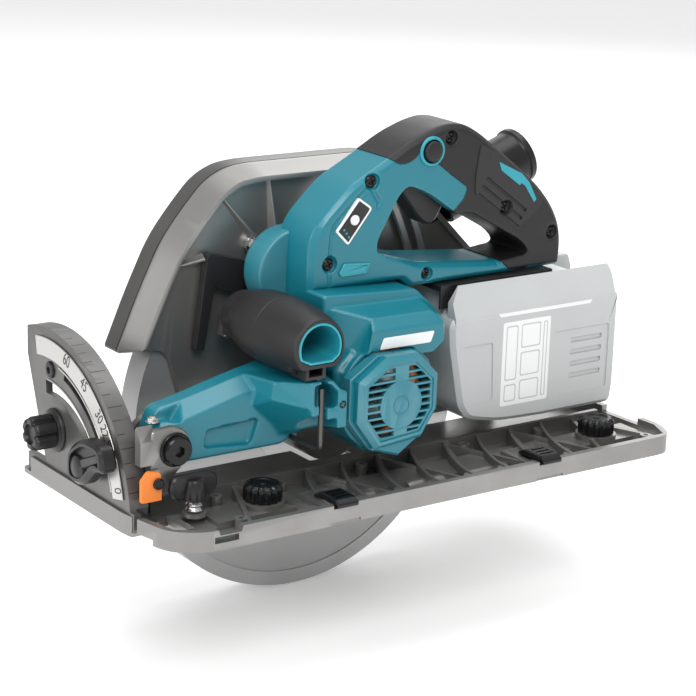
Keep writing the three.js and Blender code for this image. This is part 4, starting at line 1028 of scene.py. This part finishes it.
def bevel_controls():
    y, z = -0.4, 34.0
    line = [(y + 12, z + 10, 8), (y - 8, z + 24, 10), (y - 34, z + 24, 10), (y - 37.6, z + 6, 8),
            (y - 26, z + 6, 5), (y - 8, z - 11, 9), (y + 12, z - 11, 9)]
    lever = slab("clamp_lever", "yz", line, -227.7, -214.9, 2.6)
    inner = offset(rounded(line), 4.6)
    lever = cut(lever, slab("tool", "yz", inner, -229, -224.4))
    lever = join(lever, lathe("tool", "x", (y, z), [
        (0, -216), (9.6, -216), (9.6, -224.0), (8.6, -226.2), (5.4, -227.4), (0, -227.7)][::-1],
        40))
    lever = join(lever, slab("tool", "yz", [(y - 30, z + 12, 2), (y - 8, z + 2, 2),
                                            (y - 5, z + 8, 2), (y - 28, z + 18, 2)],
                             -226.6, -222, 0.8))
    lever = join(lever, disc("tool", "x", (y, z), 2.9, -216, -190.2, 20))
    edges(lever, 0.6, 2)
    piece(lever, "bevel_clamp_lever", "black_plastic", ["bevel_clamp_lever"])

    sections = []
    count = 72
    for scale, x in ((1.0, -217.2), (1.0, -230.2), (0.95, -232.0), (0.84, -233.2),
                     (0.60, -233.2), (0.54, -231.0), (0.30, -231.0)):
        ring = []
        for k in range(count):
            turn = 2 * math.pi * k / count
            dip = max(0.0, math.cos(6 * turn)) ** 1.5 * (2.6 if scale > 0.8 else 0)
            reach = 11.9 * scale - dip
            ring.append((x, 53.5 + reach * math.cos(turn), 43 + reach * math.sin(turn)))
        sections.append(ring)
    knob = loft("stop_knob", sections)
    knob = join(knob, disc("tool", "x", (53.5, 43), 5.0, -218, -205.2, 28),
                disc("tool", "x", (53.5, 43), 7.8, -217.4, -213.4, 40))
    edges(knob, 0.3, 2, 45)
    piece(knob, "bevel_stop_knob", "black_plastic", ["bevel_stop_knob"])


def pivot_socket():
    ring = lathe("depth_pivot_washer", "y", PIVOT, [
        (6.5, -50.2), (11.6, -50.2), (11.6, -51.2), (10.8, -51.8), (6.5, -51.8)], 48)
    smooth_shade(ring)
    edges(ring, 0.2, 1)
    piece(ring, "bevel_frame", "black_steel")
    nut = disc("bracket_nut", "z", (-188, -34.5), 3.8, 69.6, 72.8, 6)
    nut = join(nut, disc("tool", "z", (-188, -34.5), 4.8, 69.6, 70.6, 28))
    nut = join(nut, disc("tool", "z", (-188, -34.5), 2.2, 70, 74.0, 24))
    edges(nut, 0.3, 2)
    piece(nut, "bevel_frame", "steel")


# ------------------------------------------------------------------ battery
def battery():
    body = slab("battery_shell", "xz", [(48.2, 104, 3), (49.5, 88, 4), (58.5, 44, 4),
                                        (66, 33, 6), (92, 27, 12), (130, 25.2, 20),
                                        (203, 25.2, 5), (204.8, 40, 10), (204.8, 109.8, 3),
                                        (52, 109.8, 4)], -44.9, 30.9, 3.2)
    block = slab("tool", "xz", [(54, 106), (174.5, 106), (174.5, 125.9, 1), (54, 125.9, 1)],
                 -27.9, 17.9, 0.8)
    body = join(body, block)
    body = cut(body, box("tool", (175, 210), (-24, 10), (89.5, 120)))
    # The grooves beside the sliding block, and the shadow gap round the lid.
    for y0, y1 in ((-28.5, -25.2), (15.2, 18.5)):
        body = cut(body, box("tool", (50, 172), (y0, y1), (113.5, 116.5)))
    near_shoulder = [(-44.6, 100), (-44.6, 108.5), (-43.4, 111.5), (-36.0, 129), (-34.5, 130.8),
                     (-34.5, 100)]
    body = join(body, loft("tool", [[(x, y, z) for y, z in near_shoulder]
                                    for x in (51.8, 201.2)]))
    deck = [(-36, 100), (-36, 127), (-25, 127.5), (-24.4, 126), (-24.4, 100)]
    far_deck = [(11, 100), (11, 126), (12, 127.5), (22, 127), (30.8, 111), (30.8, 100)]
    for section in (deck, far_deck):
        body = join(body, loft("tool", [[(x, y, z) for y, z in section]
                                        for x in (153, 203.5)]))
    body = cut(body, slab("tool", "xz", [(44, 108), (44, 140), (66, 140), (55, 124)], -50, -30))
    body = cut(body, slab("tool", "xz", [(196, 140), (210, 140), (210, 112), (205.5, 112)],
                          -50, 35))
    body = cut(body, slab("tool", "xz", [(68, 44, 3), (88, 44, 3), (86, 88, 3), (60, 88, 3)],
                          -46, -44.0))
    body = cut(body, slab("tool", "xz", [(144, 40, 3), (196, 38, 3), (196, 88, 3),
                                         (144, 88, 3)], -46, -44.0))
    for i in range(4):
        z = 50 + 9 * i
        body = cut(body, slab("tool", "xz", [(160, z, 1.5), (190, z, 1.5), (190, z + 4, 1.5),
                                             (160, z + 4, 1.5)], -46, -42.6))
    for i in range(5):
        y = -30 + 12 * i
        body = cut(body, slab("tool", "yz", [(y, 46, 1.5), (y + 5, 46, 1.5), (y + 5, 80, 1.5),
                                             (y, 80, 1.5)], 203.2, 210))
    edges(body, 0.7, 3, 35, flat_faces=True)
    piece(body, "battery", "pale_plastic", ["battery_pack"])
    # A thin pale strip in white plastic along the battery's near top edge: a painted highlight.
    trim_and_highlight_strip = slab("battery_painted_highlight_strip", "xz", [(92, 105.5, 0.6), (176, 105.5, 0.6),
                                            (178, 108.2, 0.6), (90, 108.2, 0.6)],
                -45.0, -44.3, 0.2)
    piece(trim_and_highlight_strip, "battery", "white_plastic")
    label = slab("battery_panel", "xz", [(95, 38, 2), (139, 38, 2), (139, 101, 2), (95, 101, 2)],
                 -45.0, -44.4, 0.15)
    for x0, x1, z0, z1 in ((98, 109, 41, 54), (98, 109, 57, 98), (112, 130, 80, 98),
                           (112, 130, 59, 77), (112, 130, 41, 56), (132.5, 136.5, 41, 98)):
        frame_line = cut(slab("tool", "xz", [(x0, z0, 2), (x1, z0, 2), (x1, z1, 2),
                                             (x0, z1, 2)], -45.4, -44.7),
                         slab("tool", "xz", [(x0 + 1.0, z0 + 1.0, 1.5), (x1 - 1.0, z0 + 1.0, 1.5),
                                             (x1 - 1.0, z1 - 1.0, 1.5),
                                             (x0 + 1.0, z1 - 1.0, 1.5)], -46, -44))
        label = cut(label, frame_line)
    piece(label, "battery", "white_plastic")
    rail = slab("battery_rail_body", "xz", [(48, 113.5), (150.5, 113.5), (150.5, 131.3),
                                            (48, 131.3)], -30.5, 20.5, 0.6)
    rail = cut(rail, box("tool", (40, 149), (-28.3, 18.3), (100, 126.3)))
    edges(rail, 0.4, 1)
    piece(rail, "saw_head", "black_plastic", ["battery_rail"])
    latch = slab("battery_latch", "xz", [(176.4, 92.6), (202.6, 92.6, 3), (202.6, 107.8, 4),
                                         (176.4, 107.8, 1.5)], -22.8, 8.8, 1.2)
    for i in range(4):
        x = 181 + 5 * i
        latch = cut(latch, box("tool", (x, x + 1.8), (-16, 2), (106.6, 110)))
    edges(latch, 0.4, 2)
    piece(latch, "battery_button", "rubber", ["battery_button"])


# ------------------------------------------------------------------ base
def base():
    body = copy_of("base_casting", "base_plate")
    for i in range(11):
        x = -118 + i * 30
        if x > 196:
            continue
        # Curved webs from the near rim up to the middle rail.
        arc = [(x + 26 * (t / 8) ** 1.7, -97 + 70 * t / 8) for t in range(9)]
        wall = [(a, b) for a, b in arc] + [(a + 2.6, b) for a, b in arc[::-1]]
        if any(abs(x + 10 - knob) < 22 for knob in (-118.5, 172)):
            continue
        body = join(body, slab("tool", "xy", wall, 2.5, 13.6, 0.6))
        star = disc("tool", "z", (x, -93.5), 4.6, 2.5, 12.6, 20)
        body = join(body, star)
    for x, r in ((-52, 9), (8, 9), (60, 7)):
        body = join(body, tube("tool", [(x - 17, -76, 3.5), (x - 15, -76, 4), (x + 15, -76, 4),
                                        (x + 17, -76, 3.5)], r * 0.62, 28))
    for x, y in ((-150, -84), (-142, -40), (-90, -40), (-20, -36), (70, -37), (140, -37),
                 (200, -88), (205, -40)):
        body = join(body, disc("tool", "z", (x, y), 4.2, 2.5, 12.2, 24))
        body = cut(body, disc("tool", "z", (x, y), 1.7, 5, 13, 16))
    # Notches in the near rim, at the fence bar's seat and beside each slide.
    body = cut(body, slab("tool", "xz", [(-176, 10.2), (-160, 10.2), (-158, 16), (-178, 16)],
                          -104, -95))
    for x in (-78, 98):
        body = cut(body, box("tool", (x - 12, x + 12), (-104, -100.2), (-1, 2.2)))
    body = cut(body, slab("tool", "xz", [(206, 9), (230, 9), (230, 16), (204, 16)], -60, -22))
    edges(body, 0.55, 2, 35)
    piece(body, "base", "casting", ["base_plate"])


def fluted(name, centre, low, high, radius, flutes, body, node):
    levels = [(0.90, low), (1.0, low + 0.8), (1.0, high - 4.2), (0.97, high - 2.0),
              (0.88, high - 0.6), (0.74, high), (0.60, high), (0.56, high - 0.9),
              (0.30, high - 0.9)]
    sections = []
    count = flutes * 8
    for scale, z in levels:
        line = []
        for k in range(count):
            turn = 2 * math.pi * k / count
            dip = (0.5 - 0.5 * math.cos(flutes * turn)) ** 2 * 1.5
            if scale < 0.8:
                dip = 0
            reach = radius * scale - dip
            line.append((centre[0] + reach * math.cos(turn), centre[1] + reach * math.sin(turn),
                         z))
        sections.append(line)
    knob = loft(name, sections)
    knob = join(knob, disc("tool", "z", centre, 3.0, 6.0, low + 2, 20),
                disc("tool", "z", centre, 2.4, low + 2, high - 0.3, 20))
    smooth_shade(knob)
    edges(knob, 0.2, 1, 50)
    return piece(knob, body, "gloss_black", [node])


def base_controls():
    fluted("front_knob", (-118.5, -61), 12, 24, 13.4, 14, "rail_knob_front", "rail_knob_front")
    fluted("rear_knob", (172, -64), 12, 24, 13.4, 14, "rail_knob_rear", "rail_knob_rear")
    for label, x in (("front", -78), ("rear", 98)):
        side = [(-104, 12.3, 0.8), (-104, 15, 1), (-100, 17.8, 1.5), (-82, 17.8, 1.5),
                (-74, 13.8, 1), (-74, 12.3)]
        slide = slab(f"{label}_slide", "yz", side, x - 8.4, x + 8.4, 1.0)
        for k in range(3):
            y = -97 + 5 * k
            slide = cut(slide, box("tool", (x - 6, x + 6), (y, y + 2), (16.6, 20)))
        edges(slide, 0.3, 2)
        piece(slide, f"rail_slide_{label}", "gloss_black",
              [f"rail_slide_{label}"])
    x, y = -170, -58.5
    wing = slab("fence_wing", "xz", [(x - 18, 21, 8), (x + 18, 21, 8), (x + 18, 38, 8),
                                     (x - 18, 38, 8)], y, y + 5, 1.4)
    wing = cut(wing, slab("tool", "xz", [(x - 14, 24.5, 5), (x + 14, 24.5, 5),
                                         (x + 14, 34.5, 5), (x - 14, 34.5, 5)], y + 4.2, y + 7))
    stem = lathe("tool", "z", (x, y), [(0, 9.7), (2.8, 9.7), (2.8, 20.2), (7.4, 20.6),
                                       (7.9, 22.0), (7.0, 30.0), (6.2, 33.4), (5.2, 34.5),
                                       (0, 34.6)], 40)
    for k in range(10):
        turn = 2 * math.pi * k / 10
        stem = cut(stem, disc("tool", "z", (x + 8.3 * math.cos(turn), y + 8.3 * math.sin(turn)),
                              1.1, 21.8, 40, 12))
    wing = join(wing, stem)
    edges(wing, 0.35, 2, 40)
    piece(wing, "fence_screw", "black_plastic", ["fence_screw"])


def nozzle():
    tube_body = nozzle_bar("nozzle_tube", [
        (17.0, 8), (19.9, 8), (19.9, 60), (20.6, 62.5), (21.9, 63.5), (21.9, 71), (21.0, 72),
        (20.3, 73), (20.3, 90), (20.9, 92), (21.9, 93), (21.9, 97), (21.0, 98.0), (17.8, 98.0),
        (17.0, 97.0)], 56)
    clear = slab("tool", "xz", offset(GUARD, -0.3), 38, 85)
    tube_body = cut(tube_body, clear)
    smooth_shade(tube_body)
    edges(tube_body, 0.4, 2)
    piece(tube_body, "saw_head", "black_plastic", ["dust_nozzle"])


# ------------------------------------------------------------------ the whole saw
set_stage()
motor_housing()
vent_cover()
handle()
handle_details()
front_arm()
front_grip()
upper_guard()
lower_guard()
dial()
bevel_controls()
pivot_socket()
battery()
base()
base_controls()
nozzle()
# Small teeth and windings take no edge rounding.
FINE = {"saw_blade", "spindle_gear", "rotor_shaft", "cooling_fan", "stator", "rotor_core",
        "fence_screw_spring"}
NODE_LOOKS = {"bevel_quadrant": "dark_casting", "bevel_scale_band": "bright",
              "front_bracket": "guard", "shaft_lock": "guard"}
for name in NODES:
    if name in STOOD_FOR:
        continue
    dress_node(name, 0 if name in FINE else 0.6, NODE_LOOKS.get(name))
